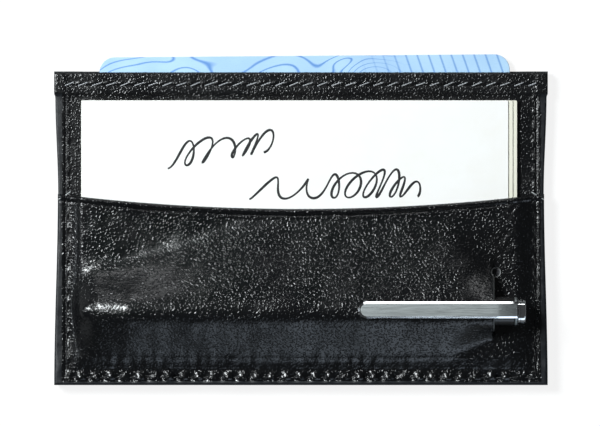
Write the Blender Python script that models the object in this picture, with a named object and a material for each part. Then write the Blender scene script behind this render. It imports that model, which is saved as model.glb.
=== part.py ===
"""Pocket note-card case with a twist pen.

The case lies on its back with the pocket side up: +X to the right, +Y towards the
open top, +Z up. The origin is the middle of the flat back. All sizes are in millimetres
and are turned into metres when a mesh is made.
"""
import math

import bmesh
import bpy
from mathutils import Matrix, Vector

MM = 0.001
GAP = 0.05                      # air between two layers that lie on each other

# --- case outline
CASE_HEIGHT = 65.2
HALF_WIDTH_HEM = 51.5           # half width at the hem
HALF_WIDTH_WAIST = 50.65        # half width at the pocket mouth
HALF_WIDTH_FOOT = 51.4          # half width at the bottom edge
CASE_TOP = CASE_HEIGHT / 2
CASE_BOTTOM = -CASE_HEIGHT / 2
HEM_FOOT = 28.0                 # lower edge of the hem band
WAIST_Y = 7.1                   # the case is narrowest here

# --- leather, linings and board
LEATHER = 0.8
BACK_LEATHER = 0.9
LINING = 0.15
BOARD = 0.45
BACK_RIM_RISE = 1.1             # the back cover steps up this far to its seam
BACK_POCKET_HALF = 44.6         # the step starts here ...
BACK_RIM_HALF = 47.2            # ... and ends here
BACK_POCKET_FOOT = -26.4
BACK_RIM_FOOT = -29.0
BACK_TOP_PROUD = 0.2            # the back cover shows this much above the hem
BOARD_HALF = 47.5
BOARD_FOOT = -29.5
BOARD_HEAD = 27.6

# --- heights of the layers above the table
BACK_LINING_Z = BACK_LEATHER + GAP
CARD_Z = BACK_LINING_Z + LINING + 0.1
PANEL_BACK_Z = BACK_RIM_RISE + BACK_LEATHER + GAP
BOARD_Z = PANEL_BACK_Z + LINING + GAP
PANEL_Z = BOARD_Z + BOARD + GAP
PANEL_TOP_Z = PANEL_Z + LEATHER
FLANGE_Z = PANEL_TOP_Z + GAP

# --- cards
NOTE_WIDTH = 88.9
NOTE_HEIGHT = 50.8
NOTE_THICK = 0.22
NOTE_X = -1.3
NOTE_HEAD = 26.7
NOTE_SHIFTS = (0.0, 0.95, 1.85, 1.2, 0.5)   # sideways, from the top card down
NOTE_PITCH = NOTE_THICK + GAP
NOTE_Z = PANEL_TOP_Z + 0.07                 # underside of the lowest card
PLASTIC_WIDTH = 85.6
PLASTIC_HEIGHT = 53.98
PLASTIC_THICK = 0.76
PLASTIC_RADIUS = 3.18
PLASTIC_CENTRE = (0.95, 9.06)
PLASTIC_TURN = math.radians(0.46)

# --- seams
SEAM_X = 49.0
SEAM_Y = -31.0
THREAD_RADIUS = 0.15
HEM_THREAD_RADIUS = 0.13
HEM_SEAM_Y = 30.1
HEM_GROOVE_HALF = 0.4
HEM_GROOVE_DEPTH = 0.35

# --- pen, along X
PEN_Y = -17.1
PEN_RADIUS = 3.0
PEN_BORE = 2.55
PEN_FIT = 2.5                   # radius of a piece that is pressed into the bore
SHELL_UNDER_PEN = 0.1           # air between the pen and the leather it lies on
NOSE_TIP_X = -42.2
NOSE_ROOT_X = -36.0
NOSE_TIP_RADIUS = 1.3
SPLIT_X = 4.0
RING_LENGTH = 1.0
UPPER_END_X = 44.2
COLLAR_LENGTH = 0.6
CAP_END_X = 46.6
CAP_RADIUS = 2.6
REFILL_RADIUS = 1.175
REFILL_TIP_X = -41.7
REFILL_LENGTH = 67.0
REFILL_TRAVEL = 2.2
PIN_X = 28.0
PIN_RADIUS = 0.42
PIN_FOOT = 0.2                  # from the pen's axis to the pin's ends
PIN_HEAD = 2.25
CAM_START = 22.0
CAM_END = 36.0
CAM_OUTER = 2.45
CAM_INNER = 2.05
GUIDE_START = -2.0
GUIDE_OUTER = 1.95
GUIDE_INNER = 1.6
CARRIER_START = 22.5
CARRIER_END = 30.0
CARRIER_RADIUS = 1.5
BUSH_START = 6.0
BUSH_END = 9.0
PLUG_START = 39.5
SPIGOT_RADIUS = 1.3             # of the plug, which carries the collar and the end cap
POINT_LENGTH = 5.2              # of the refill's point, up to its shoulder
BALL_RADIUS = 0.3

# --- front pocket
GUARD_Z = NOTE_Z + len(NOTE_SHIFTS) * NOTE_PITCH
GUARD_LEFT = 35.0
GUARD_FOOT = -24.0
GUARD_HEAD = -5.5
GUARD_THICK = 0.15              # the strip behind the slit, between the pen and the cards
POCKET_INNER_Z = GUARD_Z + GUARD_THICK + 0.03
MOUTH_MIDDLE_Y = 4.0
MOUTH_SIDE_Y = 7.1
FLANGE_HALF = 48.3              # the sewn flange starts here
POCKET_LEFT = -46.2
POCKET_RIGHT = 45.4
FLANGE_FOOT = -30.0
POCKET_FOOT = -26.6
POCKET_MARGINS = (42.5, 46.9)   # extra lines of the pocket's grid, right of the slit
HUG_RADIUS = PEN_RADIUS + 0.25  # inside of the leather over the pen
HUG_LOW = 6.4                   # where the leather leaves the cards below the pen
HUG_HIGH = 17.0                 # and above it
SLIT_X = 40.1
SLIT_WIDTH = 0.5
SLIT_LOW = 4.2                  # from the pen axis to the slit's lower end
SLIT_HIGH = 8.9                 # and to its upper end
SLIT_TAPER = 8.0                # length over which the leather draws in to the slit
STOP_HOLE_RADIUS = 0.9
STOP_HOLE_Y = -9.25
BULGE_END_X = -46.9
BULGE_SHOULDER_X = -44.6

PEN_Z = POCKET_INNER_Z + LEATHER + SHELL_UNDER_PEN + PEN_RADIUS

# --- clip
CLIP_TIP_X = 11.9
CLIP_WIDTH = 3.44
CLIP_THICK = 0.6
CLIP_Y = -16.8
CLIP_UNDER_Z = PEN_Z + HUG_RADIUS + LEATHER + 0.12
CLIP_BEND_X = 40.6

ROUND = 32
SMALL_ROUND = 20


# ---------------------------------------------------------------- helpers
def clear_scene():
    """Remove what the start-up file holds."""
    for existing in list(bpy.data.objects):
        bpy.data.objects.remove(existing, do_unlink=True)


def make_material(name, colour, roughness, metallic=0.0):
    """A plain Principled material."""
    finish = bpy.data.materials.new(name)
    finish.use_nodes = True
    shader = finish.node_tree.nodes["Principled BSDF"]
    shader.inputs["Base Color"].default_value = (*colour, 1.0)
    shader.inputs["Roughness"].default_value = roughness
    shader.inputs["Metallic"].default_value = metallic
    return finish


def place(name, data, finish, location=(0, 0, 0)):
    """Link an object at a place given in millimetres."""
    piece = bpy.data.objects.new(name, data)
    piece.location = Vector(location) * MM
    piece.data.materials.append(finish)
    bpy.context.collection.objects.link(piece)
    return piece


def hang(piece, parent):
    """Parent a piece and keep it where it is."""
    spot = piece.location.copy()
    piece.parent = parent
    piece.matrix_parent_inverse = Matrix.Identity(4)
    piece.location = spot - parent.location
    return piece


def cut_with(piece, cutter_mesh, cutter_name, finish, location):
    """Cut a piece with a hidden cutter."""
    cutter = place(cutter_name, cutter_mesh, finish, location)
    cutter.hide_render = True
    cutter.display_type = "WIRE"
    cut = piece.modifiers.new(cutter_name, "BOOLEAN")
    cut.operation = "DIFFERENCE"
    cut.object = cutter
    cut.show_render = cut.show_viewport


def finish_mesh(name, shape, smooth=False):
    """Turn a bmesh in millimetres into a mesh in metres with its faces pointing out."""
    bmesh.ops.recalc_face_normals(shape, faces=shape.faces)
    bmesh.ops.scale(shape, vec=(MM, MM, MM), verts=shape.verts)
    mesh = bpy.data.meshes.new(name)
    shape.to_mesh(mesh)
    shape.free()
    if smooth:
        mesh.shade_smooth()
        mesh.set_sharp_from_angle(angle=math.radians(35))
    return mesh


def extrude_outline(name, outline, bottom, top):
    """A flat plate from an outline of (x, y) points."""
    shape = bmesh.new()
    base = shape.faces.new([shape.verts.new((x, y, bottom)) for x, y in outline])
    lifted = bmesh.ops.extrude_face_region(shape, geom=[base])["geom"]
    lifted_points = [item for item in lifted if isinstance(item, bmesh.types.BMVert)]
    bmesh.ops.translate(shape, verts=lifted_points, vec=(0, 0, top - bottom))
    return finish_mesh(name, shape)


def rounded_rectangle(width, height, radius, steps=6):
    """An outline with round corners, about its middle."""
    outline = []
    corners = ((1, 1, 0), (-1, 1, 90), (-1, -1, 180), (1, -1, 270))
    for side_x, side_y, start in corners:
        centre_x = side_x * (width / 2 - radius)
        centre_y = side_y * (height / 2 - radius)
        for step in range(steps + 1):
            angle = math.radians(start + 90 * step / steps)
            outline.append((centre_x + radius * math.cos(angle), centre_y + radius * math.sin(angle)))
    return outline


def rectangle(left, right, foot, head):
    """A square-cornered outline."""
    return [(left, foot), (right, foot), (right, head), (left, head)]


def disc(radius, steps=4):
    """A round outline."""
    return rounded_rectangle(2 * radius, 2 * radius, radius * 0.999, steps)


def turn(name, profile, sides=ROUND):
    """Turn a closed profile of (x, radius) points about the X axis.

    A profile with two points at radius 0 makes a solid, one with none makes a tube.
    """
    on_the_axis = [index for index, point in enumerate(profile) if point[1] == 0]
    if on_the_axis and profile[0][1] > 0:
        first = on_the_axis[0] + 1
        profile = profile[first:] + profile[:first]
    shape = bmesh.new()
    rings = []
    for x, radius in profile:
        if radius == 0:
            rings.append([shape.verts.new((x, 0, 0))])
            continue
        ring = []
        for side in range(sides):
            angle = 2 * math.pi * side / sides
            ring.append(shape.verts.new((x, -radius * math.sin(angle), radius * math.cos(angle))))
        rings.append(ring)
    pairs = list(zip(rings, rings[1:]))
    if profile[0][1] > 0:
        pairs.append((rings[-1], rings[0]))
    for one, two in pairs:
        for side in range(sides):
            after = (side + 1) % sides
            corners = [one[side % len(one)], one[after % len(one)]]
            corners += [two[after % len(two)], two[side % len(two)]]
            shape.faces.new(list(dict.fromkeys(corners)))
    return finish_mesh(name, shape, smooth=True)


def spread(start, end, longest):
    """Even stations from start to end, both included, no further apart than longest."""
    count = max(1, math.ceil(abs(end - start) / longest))
    return [start + (end - start) * step / count for step in range(count + 1)]


def smooth_step(value):
    """0 to 1 with soft ends."""
    value = min(1.0, max(0.0, value))
    return value * value * (3 - 2 * value)


def ramp(value, start, end):
    """0 at start, 1 at end, straight between."""
    return min(1.0, max(0.0, (value - start) / (end - start)))


def case_half_width(y):
    """Half the width of the case at a height y: slightly drawn in at the pocket mouth."""
    if y >= HEM_FOOT:
        return HALF_WIDTH_HEM
    if y >= WAIST_Y:
        rise = smooth_step((y - WAIST_Y) / (HEM_FOOT - WAIST_Y))
        return HALF_WIDTH_WAIST + (HALF_WIDTH_HEM - 0.25 - HALF_WIDTH_WAIST) * rise
    rise = smooth_step((WAIST_Y - y) / (WAIST_Y - CASE_BOTTOM))
    return HALF_WIDTH_WAIST + (HALF_WIDTH_FOOT - HALF_WIDTH_WAIST) * rise


def sheet_solid(name, columns, rows, bottom, top, inset=0.0):
    """A closed sheet over a grid; bottom and top give the height of each side at (x, y).

    The two outer columns follow the outline of the case.
    """
    shape = bmesh.new()
    sides = []
    for height in (bottom, top):
        grid = []
        for y in rows:
            edge = case_half_width(y) - inset
            stations = [-edge] + list(columns) + [edge]
            grid.append([shape.verts.new((x, y, height(x, y))) for x in stations])
        sides.append(grid)
    low, high = sides
    last_row = len(rows) - 1
    last_column = len(columns) + 1
    for grid in sides:
        for row in range(last_row):
            for column in range(last_column):
                shape.faces.new((grid[row][column], grid[row][column + 1],
                                 grid[row + 1][column + 1], grid[row + 1][column]))
    for row in range(last_row):
        for column in (0, last_column):
            shape.faces.new((low[row][column], low[row + 1][column],
                             high[row + 1][column], high[row][column]))
    for column in range(last_column):
        for row in (0, last_row):
            shape.faces.new((low[row][column], low[row][column + 1],
                             high[row][column + 1], high[row][column]))
    return finish_mesh(name, shape)


def thread(name, route, radius, finish):
    """A round thread along a route of points."""
    curve = bpy.data.curves.new(name, "CURVE")
    curve.dimensions = "3D"
    curve.bevel_depth = radius * MM
    curve.bevel_resolution = 1
    curve.use_fill_caps = True
    line = curve.splines.new("POLY")
    line.points.add(len(route) - 1)
    for point, spot in zip(line.points, route):
        point.co = (*(Vector(spot) * MM), 1.0)
    return place(name, curve, finish)


# ---------------------------------------------------------------- the case
def back_cover_height(x, y):
    """Underside of the back cover: flat, with a step up to the seam on three sides."""
    side = ramp(abs(x), BACK_POCKET_HALF, BACK_RIM_HALF)
    foot = ramp(-y, -BACK_POCKET_FOOT, -BACK_RIM_FOOT)
    return BACK_RIM_RISE * max(side, foot)


def make_back_cover(leather):
    columns = [-BACK_RIM_HALF, -BACK_POCKET_HALF, 0.0, BACK_POCKET_HALF, BACK_RIM_HALF]
    rows = [CASE_BOTTOM, BACK_RIM_FOOT]
    rows += spread(BACK_POCKET_FOOT, HEM_FOOT, 8.0)
    rows += [HEM_FOOT + 0.1, CASE_TOP + BACK_TOP_PROUD]
    mesh = sheet_solid("back_cover", columns, rows, back_cover_height,
                       lambda x, y: back_cover_height(x, y) + BACK_LEATHER)
    place("back_cover", mesh, leather)


def panel_is_edge(x, y):
    """True on the folded edge of the middle panel, which is thicker than its middle."""
    return abs(x) > BOARD_HALF + 0.3 or y < BOARD_FOOT - 0.3 or y > BOARD_HEAD + 0.3


def panel_groove(y):
    """Depth of the stitch groove in the hem."""
    return HEM_GROOVE_DEPTH * max(0.0, 1 - abs(y - HEM_SEAM_Y) / HEM_GROOVE_HALF)


def panel_fold(y):
    """How far each side of the hem rounds off at the folded top edge."""
    return 0.45 * ramp(y, CASE_TOP - 0.5, CASE_TOP) ** 2


def make_middle_panel(leather):
    step = BOARD_HALF + 0.1
    edge = BOARD_HALF + 0.4
    columns = [-edge, -step, 0.0, step, edge]
    rows = [CASE_BOTTOM + 0.05, BOARD_FOOT - 0.4, BOARD_FOOT - 0.1]
    rows += spread(BOARD_FOOT + 2, BOARD_HEAD - 2, 8.0)
    rows += [BOARD_HEAD + 0.1, BOARD_HEAD + 0.4, HEM_FOOT + 0.1]
    rows += [HEM_SEAM_Y + HEM_GROOVE_HALF * side for side in (-1, 0, 1)]
    rows += spread(CASE_TOP - 0.5, CASE_TOP, 0.25)

    def underside(x, y):
        level = PANEL_BACK_Z if panel_is_edge(x, y) else PANEL_Z
        return level + panel_groove(y) + panel_fold(y)

    def upside(x, y):
        return PANEL_TOP_Z - panel_groove(y) - panel_fold(y)

    mesh = sheet_solid("middle_panel", columns, rows, underside, upside, inset=0.05)
    place("middle_panel", mesh, leather)


def make_linings(cloth, board):
    layers = (
        ("back_lining", cloth, BACK_LINING_Z, LINING,
         rectangle(0.1 - BACK_POCKET_HALF, BACK_POCKET_HALF - 0.1, 0.1 + BACK_POCKET_FOOT, CASE_TOP - 0.2)),
        ("panel_lining", cloth, PANEL_BACK_Z, LINING,
         rectangle(-BOARD_HALF, BOARD_HALF, BOARD_FOOT, BOARD_HEAD)),
        ("stiffener_board", board, BOARD_Z, BOARD,
         rectangle(-BOARD_HALF, BOARD_HALF, BOARD_FOOT, BOARD_HEAD)),
        ("pen_guard", cloth, GUARD_Z, GUARD_THICK,
         rectangle(GUARD_LEFT, POCKET_RIGHT - 0.2, GUARD_FOOT, GUARD_HEAD)),
    )
    for name, finish, base, thickness, outline in layers:
        place(name, extrude_outline(name, outline, base, base + thickness), finish)


def mouth_y(x):
    """The pocket mouth is a shallow arc."""
    return MOUTH_MIDDLE_Y + (MOUTH_SIDE_Y - MOUTH_MIDDLE_Y) * (x / HALF_WIDTH_WAIST) ** 2


def nose_radius(x):
    """Outer radius of the pen at x: a cylinder with a rounded nose."""
    along = ramp(x, NOSE_ROOT_X, NOSE_TIP_X)
    return PEN_RADIUS - (PEN_RADIUS - NOSE_TIP_RADIUS) * along ** 1.8


def bulge_scale(x):
    """Share of the bulge's height that is left at x: none past its left end or the slit."""
    if x > SLIT_X:
        return 0.0
    return smooth_step(ramp(x, BULGE_END_X, BULGE_SHOULDER_X))


def hug_section(x):
    """Points (y, height) of the leather over the pen, from its lower foot to its upper one.

    The leather leaves the cards in a straight line, wraps the top of the pen and comes down in
    a straight line again.
    """
    draw_in = ramp(x, SLIT_X - SLIT_TAPER, SLIT_X)
    low = HUG_LOW + (SLIT_LOW - HUG_LOW) * draw_in
    high = HUG_HIGH + (SLIT_HIGH - HUG_HIGH) * draw_in
    radius = nose_radius(x) + HUG_RADIUS - PEN_RADIUS
    rise = PEN_Z - POCKET_INNER_Z
    ends = []
    for width in (low, high):
        reach = math.hypot(width, rise)
        ends.append(math.acos(radius / reach) - math.atan2(rise, width))
    start_angle = math.pi - ends[0]
    end_angle = ends[1]
    steps = 8
    section = [(PEN_Y - low, 0.0)]
    for step in range(steps + 1):
        angle = start_angle + (end_angle - start_angle) * step / steps
        section.append((PEN_Y + radius * math.cos(angle), rise + radius * math.sin(angle)))
    section.append((PEN_Y + high, 0.0))
    return section


def pocket_height(x, y):
    """Inside of the front pocket without the pen: flat over the cards, down to the flange."""
    if x < 0:
        side = ramp(x, -FLANGE_HALF, POCKET_LEFT)
    else:
        side = ramp(x, FLANGE_HALF, POCKET_RIGHT)
    foot = ramp(y, FLANGE_FOOT, POCKET_FOOT)
    return FLANGE_Z + (POCKET_INNER_Z - FLANGE_Z) * min(side, foot)


def pocket_column(x):
    """One line of points across the pocket from its bottom edge to its mouth."""
    scale = bulge_scale(x)
    section = hug_section(min(x, SLIT_X))
    rows = [(CASE_BOTTOM, 0.0), (FLANGE_FOOT, 0.0), (POCKET_FOOT, 0.0)]
    rows += [(y, height * scale) for y, height in section]
    foot = section[-1][0]
    head = mouth_y(x)
    rows += [(y, 0.0) for y in spread(foot, head, (head - foot) / 3 + 0.001)[1:]]
    return [(y, pocket_height(x, y) + height) for y, height in rows]


def make_front_pocket(leather):
    """The pocket's inner surface as a grid, thickened outwards, with a slit for the pen."""
    slit_left = SLIT_X - SLIT_WIDTH / 2
    slit_right = SLIT_X + SLIT_WIDTH / 2
    stations = [-FLANGE_HALF]
    stations += spread(BULGE_END_X, BULGE_SHOULDER_X, 0.5)
    stations += spread(BULGE_SHOULDER_X, NOSE_TIP_X, 1.3)[1:]
    stations += spread(NOSE_TIP_X, NOSE_ROOT_X, 1.6)[1:]
    stations += spread(NOSE_ROOT_X, SLIT_X - SLIT_TAPER, 6.0)[1:]
    stations += spread(SLIT_X - SLIT_TAPER, slit_left, 2.0)[1:]
    stations += [slit_right, POCKET_MARGINS[0], POCKET_RIGHT, POCKET_MARGINS[1], FLANGE_HALF]

    shape = bmesh.new()
    grid = []
    for station in [None] + stations + [None]:
        side = -1 if not grid else 1
        line = []
        for y, z in pocket_column(side * HALF_WIDTH_HEM if station is None else station):
            x = side * case_half_width(y) if station is None else station
            line.append(shape.verts.new((x, y, z)))
        grid.append(line)
    slit_column = stations.index(slit_left) + 1
    foot_row = 3
    head_row = foot_row + len(hug_section(0.0)) - 1
    for column in range(len(grid) - 1):
        for row in range(len(grid[0]) - 1):
            if column == slit_column and foot_row <= row < head_row:
                continue
            shape.faces.new((grid[column][row], grid[column + 1][row],
                             grid[column + 1][row + 1], grid[column][row + 1]))
    mesh = finish_mesh("front_pocket", shape)
    pocket = place("front_pocket", mesh, leather)

    thicken = pocket.modifiers.new("leather thickness", "SOLIDIFY")
    thicken.thickness = LEATHER * MM
    thicken.offset = 1.0
    thicken.use_even_offset = True

    punch = extrude_outline("stop_hole_punch", disc(STOP_HOLE_RADIUS), -3.0, 6.0)
    cut_with(pocket, punch, "stop_hole_punch", leather, (SLIT_X + 0.4, STOP_HOLE_Y, POCKET_INNER_Z))


def make_threads(linen):
    """Front and back seam threads round three sides, and the two threads of the hem."""
    front_top = FLANGE_Z + LEATHER + GAP + THREAD_RADIUS
    panel_top = PANEL_TOP_Z + GAP + THREAD_RADIUS
    seam_head = HEM_SEAM_Y - 0.8
    step_low = MOUTH_SIDE_Y + 0.6
    step_high = step_low + 1.4
    side = [(SEAM_X, y, panel_top) for y in spread(seam_head, step_high, 8.0)]
    side += [(SEAM_X, y, front_top) for y in spread(step_low, SEAM_Y + 0.8, 8.0)]
    left = [(-x, y, z) for x, y, z in side]
    bottom = [(x, SEAM_Y, front_top) for x in spread(0.8 - SEAM_X, SEAM_X - 0.8, 10.0)]
    thread("seam_thread_front", left + bottom + side[::-1], THREAD_RADIUS, linen)

    under = BACK_RIM_RISE - GAP - HEM_THREAD_RADIUS
    back_side = [(SEAM_X, y, under) for y in spread(seam_head, SEAM_Y + 0.8, 8.0)]
    back_left = [(-x, y, z) for x, y, z in back_side]
    back_bottom = [(x, SEAM_Y, under) for x in spread(0.8 - SEAM_X, SEAM_X - 0.8, 10.0)]
    thread("seam_thread_back", back_left + back_bottom + back_side[::-1], HEM_THREAD_RADIUS, linen)

    hem_ends = spread(0.4 - SEAM_X, SEAM_X - 0.4, 10.0)
    top_z = PANEL_TOP_Z + 0.01 - HEM_THREAD_RADIUS
    back_z = PANEL_BACK_Z + 0.02 + HEM_THREAD_RADIUS
    thread("hem_thread_front", [(x, HEM_SEAM_Y, top_z) for x in hem_ends], HEM_THREAD_RADIUS, linen)
    thread("hem_thread_back", [(x, HEM_SEAM_Y, back_z) for x in hem_ends], HEM_THREAD_RADIUS, linen)


def make_cards(paper, plastic):
    left = NOTE_X - NOTE_WIDTH / 2
    for index, shift in enumerate(NOTE_SHIFTS):
        name = "note_card_%d" % (index + 1)
        base = NOTE_Z + (len(NOTE_SHIFTS) - 1 - index) * NOTE_PITCH
        outline = rectangle(left + shift, left + shift + NOTE_WIDTH, NOTE_HEAD - NOTE_HEIGHT, NOTE_HEAD)
        place(name, extrude_outline(name, outline, base, base + NOTE_THICK), paper)
    outline = rounded_rectangle(PLASTIC_WIDTH, PLASTIC_HEIGHT, PLASTIC_RADIUS)
    mesh = extrude_outline("plastic_card", outline, 0.0, PLASTIC_THICK)
    card = place("plastic_card", mesh, plastic, (*PLASTIC_CENTRE, CARD_Z))
    card.rotation_euler.z = PLASTIC_TURN


# ---------------------------------------------------------------- the pen
def axis_empty(name, x):
    """An empty on the pen's axis."""
    empty = bpy.data.objects.new(name, None)
    empty.location = Vector((x, PEN_Y, PEN_Z)) * MM
    bpy.context.collection.objects.link(empty)
    return empty


def on_axis(name, mesh, finish, parent):
    """Place a piece whose mesh is drawn along the pen's own axis."""
    return hang(place(name, mesh, finish, (0, PEN_Y, PEN_Z)), parent)


def make_upper_pen(lacquer, chrome, steel, brass, parent):
    upper_start = SPLIT_X + RING_LENGTH
    barrel = [(upper_start, PEN_BORE), (UPPER_END_X, PEN_BORE),
              (UPPER_END_X, PEN_RADIUS), (upper_start, PEN_RADIUS)]
    on_axis("pen_upper_barrel", turn("pen_upper_barrel", barrel), lacquer, parent)

    collar_start = UPPER_END_X + GAP
    collar_end = collar_start + COLLAR_LENGTH
    cap_start = collar_end + 0.1
    plug = [(PLUG_START, 0), (PLUG_START, PEN_FIT), (UPPER_END_X - GAP, PEN_FIT),
            (UPPER_END_X - GAP, SPIGOT_RADIUS), (CAP_END_X - 0.6, SPIGOT_RADIUS), (CAP_END_X - 0.6, 0)]
    on_axis("pen_barrel_plug", turn("pen_barrel_plug", plug), brass, parent)

    bore = SPIGOT_RADIUS + GAP
    collar = [(collar_start, bore), (collar_end, bore),
              (collar_end, PEN_RADIUS - 0.1), (collar_start, PEN_RADIUS - 0.1)]
    on_axis("pen_clip_collar", turn("pen_clip_collar", collar), steel, parent)

    cap = [(cap_start, bore), (CAP_END_X - 0.5, bore), (CAP_END_X - 0.5, 0), (CAP_END_X, 0),
           (CAP_END_X, CAP_RADIUS - 0.5), (CAP_END_X - 0.2, CAP_RADIUS - 0.15),
           (CAP_END_X - 0.5, CAP_RADIUS), (cap_start + 0.15, CAP_RADIUS), (cap_start, CAP_RADIUS - 0.15)]
    on_axis("pen_end_cap", turn("pen_end_cap", cap), chrome, parent)

    bush_bore = GUIDE_OUTER + 0.1
    bush = [(BUSH_START, bush_bore), (BUSH_END, bush_bore), (BUSH_END, PEN_FIT), (BUSH_START, PEN_FIT)]
    on_axis("pen_bush", turn("pen_bush", bush, SMALL_ROUND), brass, parent)
    on_axis("pen_cam_tube", cam_tube_mesh(), brass, parent)


def cam_tube_mesh():
    """A tube with a slot that winds half a turn while it moves by the refill's travel."""
    sides = 24
    slot_half = PIN_RADIUS + 0.13
    margin = 1                       # open sides past each end of the half turn
    shape = bmesh.new()
    wall = []
    for radius in (CAM_INNER, CAM_OUTER):
        rings = []
        for side in range(sides):
            angle = 2 * math.pi * side / sides
            share = ramp(angle, 0, math.pi)
            if angle > math.pi:
                share = ramp(angle, 2 * math.pi, math.pi)
            middle = PIN_X - REFILL_TRAVEL * share
            if side in range(sides // 2, sides // 2 + margin + 1):
                middle = PIN_X - REFILL_TRAVEL
            if side >= sides - margin:
                middle = PIN_X
            line = [CAM_START, middle - slot_half, middle + slot_half, CAM_END]
            rings.append([shape.verts.new((x, -radius * math.sin(angle), radius * math.cos(angle)))
                          for x in line])
        wall.append(rings)
    inner, outer = wall
    open_sides = [side % sides for side in range(-margin, sides // 2 + margin)]
    for side in range(sides):
        after = (side + 1) % sides
        for rings in wall:
            for part in range(3):
                if part == 1 and side in open_sides:
                    continue
                shape.faces.new((rings[side][part], rings[after][part],
                                 rings[after][part + 1], rings[side][part + 1]))
        edges = [0, 3] + ([1, 2] if side in open_sides else [])
        for edge in edges:
            shape.faces.new((inner[side][edge], inner[after][edge],
                             outer[after][edge], outer[side][edge]))
    for side in (open_sides[0], (open_sides[-1] + 1) % sides):
        shape.faces.new((inner[side][1], inner[side][2], outer[side][2], outer[side][1]))
    return finish_mesh("pen_cam_tube", shape, smooth=True)


def make_lower_pen(lacquer, chrome, brass, parent):
    barrel = [(NOSE_ROOT_X, PEN_BORE), (SPLIT_X, PEN_BORE),
              (SPLIT_X, PEN_RADIUS), (NOSE_ROOT_X, PEN_RADIUS)]
    on_axis("pen_lower_barrel", turn("pen_lower_barrel", barrel), lacquer, parent)

    ring_bore = GUIDE_OUTER + GAP
    ring = [(SPLIT_X + GAP, ring_bore), (SPLIT_X + RING_LENGTH - GAP, ring_bore),
            (SPLIT_X + RING_LENGTH - GAP, PEN_RADIUS), (SPLIT_X + GAP, PEN_RADIUS)]
    on_axis("pen_centre_ring", turn("pen_centre_ring", ring), chrome, parent)

    root = NOSE_ROOT_X - GAP
    bore = REFILL_RADIUS + 0.075
    nose = [(root + 3, bore), (root + 3, PEN_FIT), (root, PEN_FIT)]
    nose += [(x, nose_radius(x)) for x in spread(root, NOSE_TIP_X, 1.1)]
    nose += [(NOSE_TIP_X, 0.85), (NOSE_TIP_X + 1, bore)]
    on_axis("pen_nose_cone", turn("pen_nose_cone", nose), chrome, parent)

    guide = [(GUIDE_START, GUIDE_INNER), (CAM_END, GUIDE_INNER), (CAM_END, GUIDE_OUTER),
             (SPLIT_X - 0.1, GUIDE_OUTER), (SPLIT_X - 0.1, PEN_FIT), (GUIDE_START, PEN_FIT)]
    tube = on_axis("pen_guide_tube", turn("pen_guide_tube", guide, SMALL_ROUND), brass, parent)
    slot_start = PIN_X - REFILL_TRAVEL - PIN_RADIUS - 0.3
    slot_end = PIN_X + PIN_RADIUS + 0.3
    slot_half = PIN_RADIUS + 0.15
    outline = rectangle(slot_start, slot_end, -slot_half, slot_half)
    slot = extrude_outline("guide_slot_cutter", outline, 0.5, 3.0)
    cut_with(tube, slot, "guide_slot_cutter", brass, (0, PEN_Y, PEN_Z))


def make_refill(steel, brass, ink_plastic, parent):
    tube_start = REFILL_TIP_X + POINT_LENGTH
    tube_end = REFILL_TIP_X + REFILL_LENGTH
    tube = [(tube_start, 0.85), (tube_end, 0.85), (tube_end, REFILL_RADIUS), (tube_start, REFILL_RADIUS)]
    on_axis("refill_tube", turn("refill_tube", tube, SMALL_ROUND), ink_plastic, parent)

    shoulder = tube_start - GAP
    socket_start = REFILL_TIP_X + 0.35
    socket_end = REFILL_TIP_X + 0.75
    point = [(shoulder + 2, 0.2), (shoulder + 2, 0.8), (shoulder, 0.8), (shoulder, REFILL_RADIUS - 0.025),
             (REFILL_TIP_X + 3.1, REFILL_RADIUS - 0.025), (REFILL_TIP_X + 1.3, 0.55),
             (REFILL_TIP_X + 0.8, 0.48), (socket_start, 0.38), (socket_start, 0.34), (socket_end, 0.34),
             (socket_end, 0.2)]
    on_axis("refill_point", turn("refill_point", point, SMALL_ROUND), brass, parent)

    steps = 6
    ball = []
    for step in range(steps + 1):
        angle = math.pi * step / steps
        height = BALL_RADIUS * math.sin(angle) if 0 < step < steps else 0
        ball.append((REFILL_TIP_X + BALL_RADIUS * (1 - math.cos(angle)), height))
    on_axis("refill_ball", turn("refill_ball", ball, 12), steel, parent)

    cup = REFILL_RADIUS + 0.06
    carrier = [(CARRIER_START, cup), (tube_end + 0.1, cup), (tube_end + 0.1, 0),
               (CARRIER_END, 0), (CARRIER_END, CARRIER_RADIUS), (CARRIER_START, CARRIER_RADIUS)]
    holder = on_axis("refill_carrier", turn("refill_carrier", carrier), brass, parent)
    drill = extrude_outline("pin_hole_cutter", disc(PIN_RADIUS + GAP), 0.1, 3.0)
    cut_with(holder, drill, "pin_hole_cutter", brass, (PIN_X, PEN_Y, PEN_Z))

    pin = hang(place("drive_pin", extrude_outline("drive_pin", disc(PIN_RADIUS, 3), PIN_FOOT, PIN_HEAD),
                     steel, (PIN_X, PEN_Y, PEN_Z)), parent)
    pin.data.shade_smooth()
    pin.data.set_sharp_from_angle(angle=math.radians(35))


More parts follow.
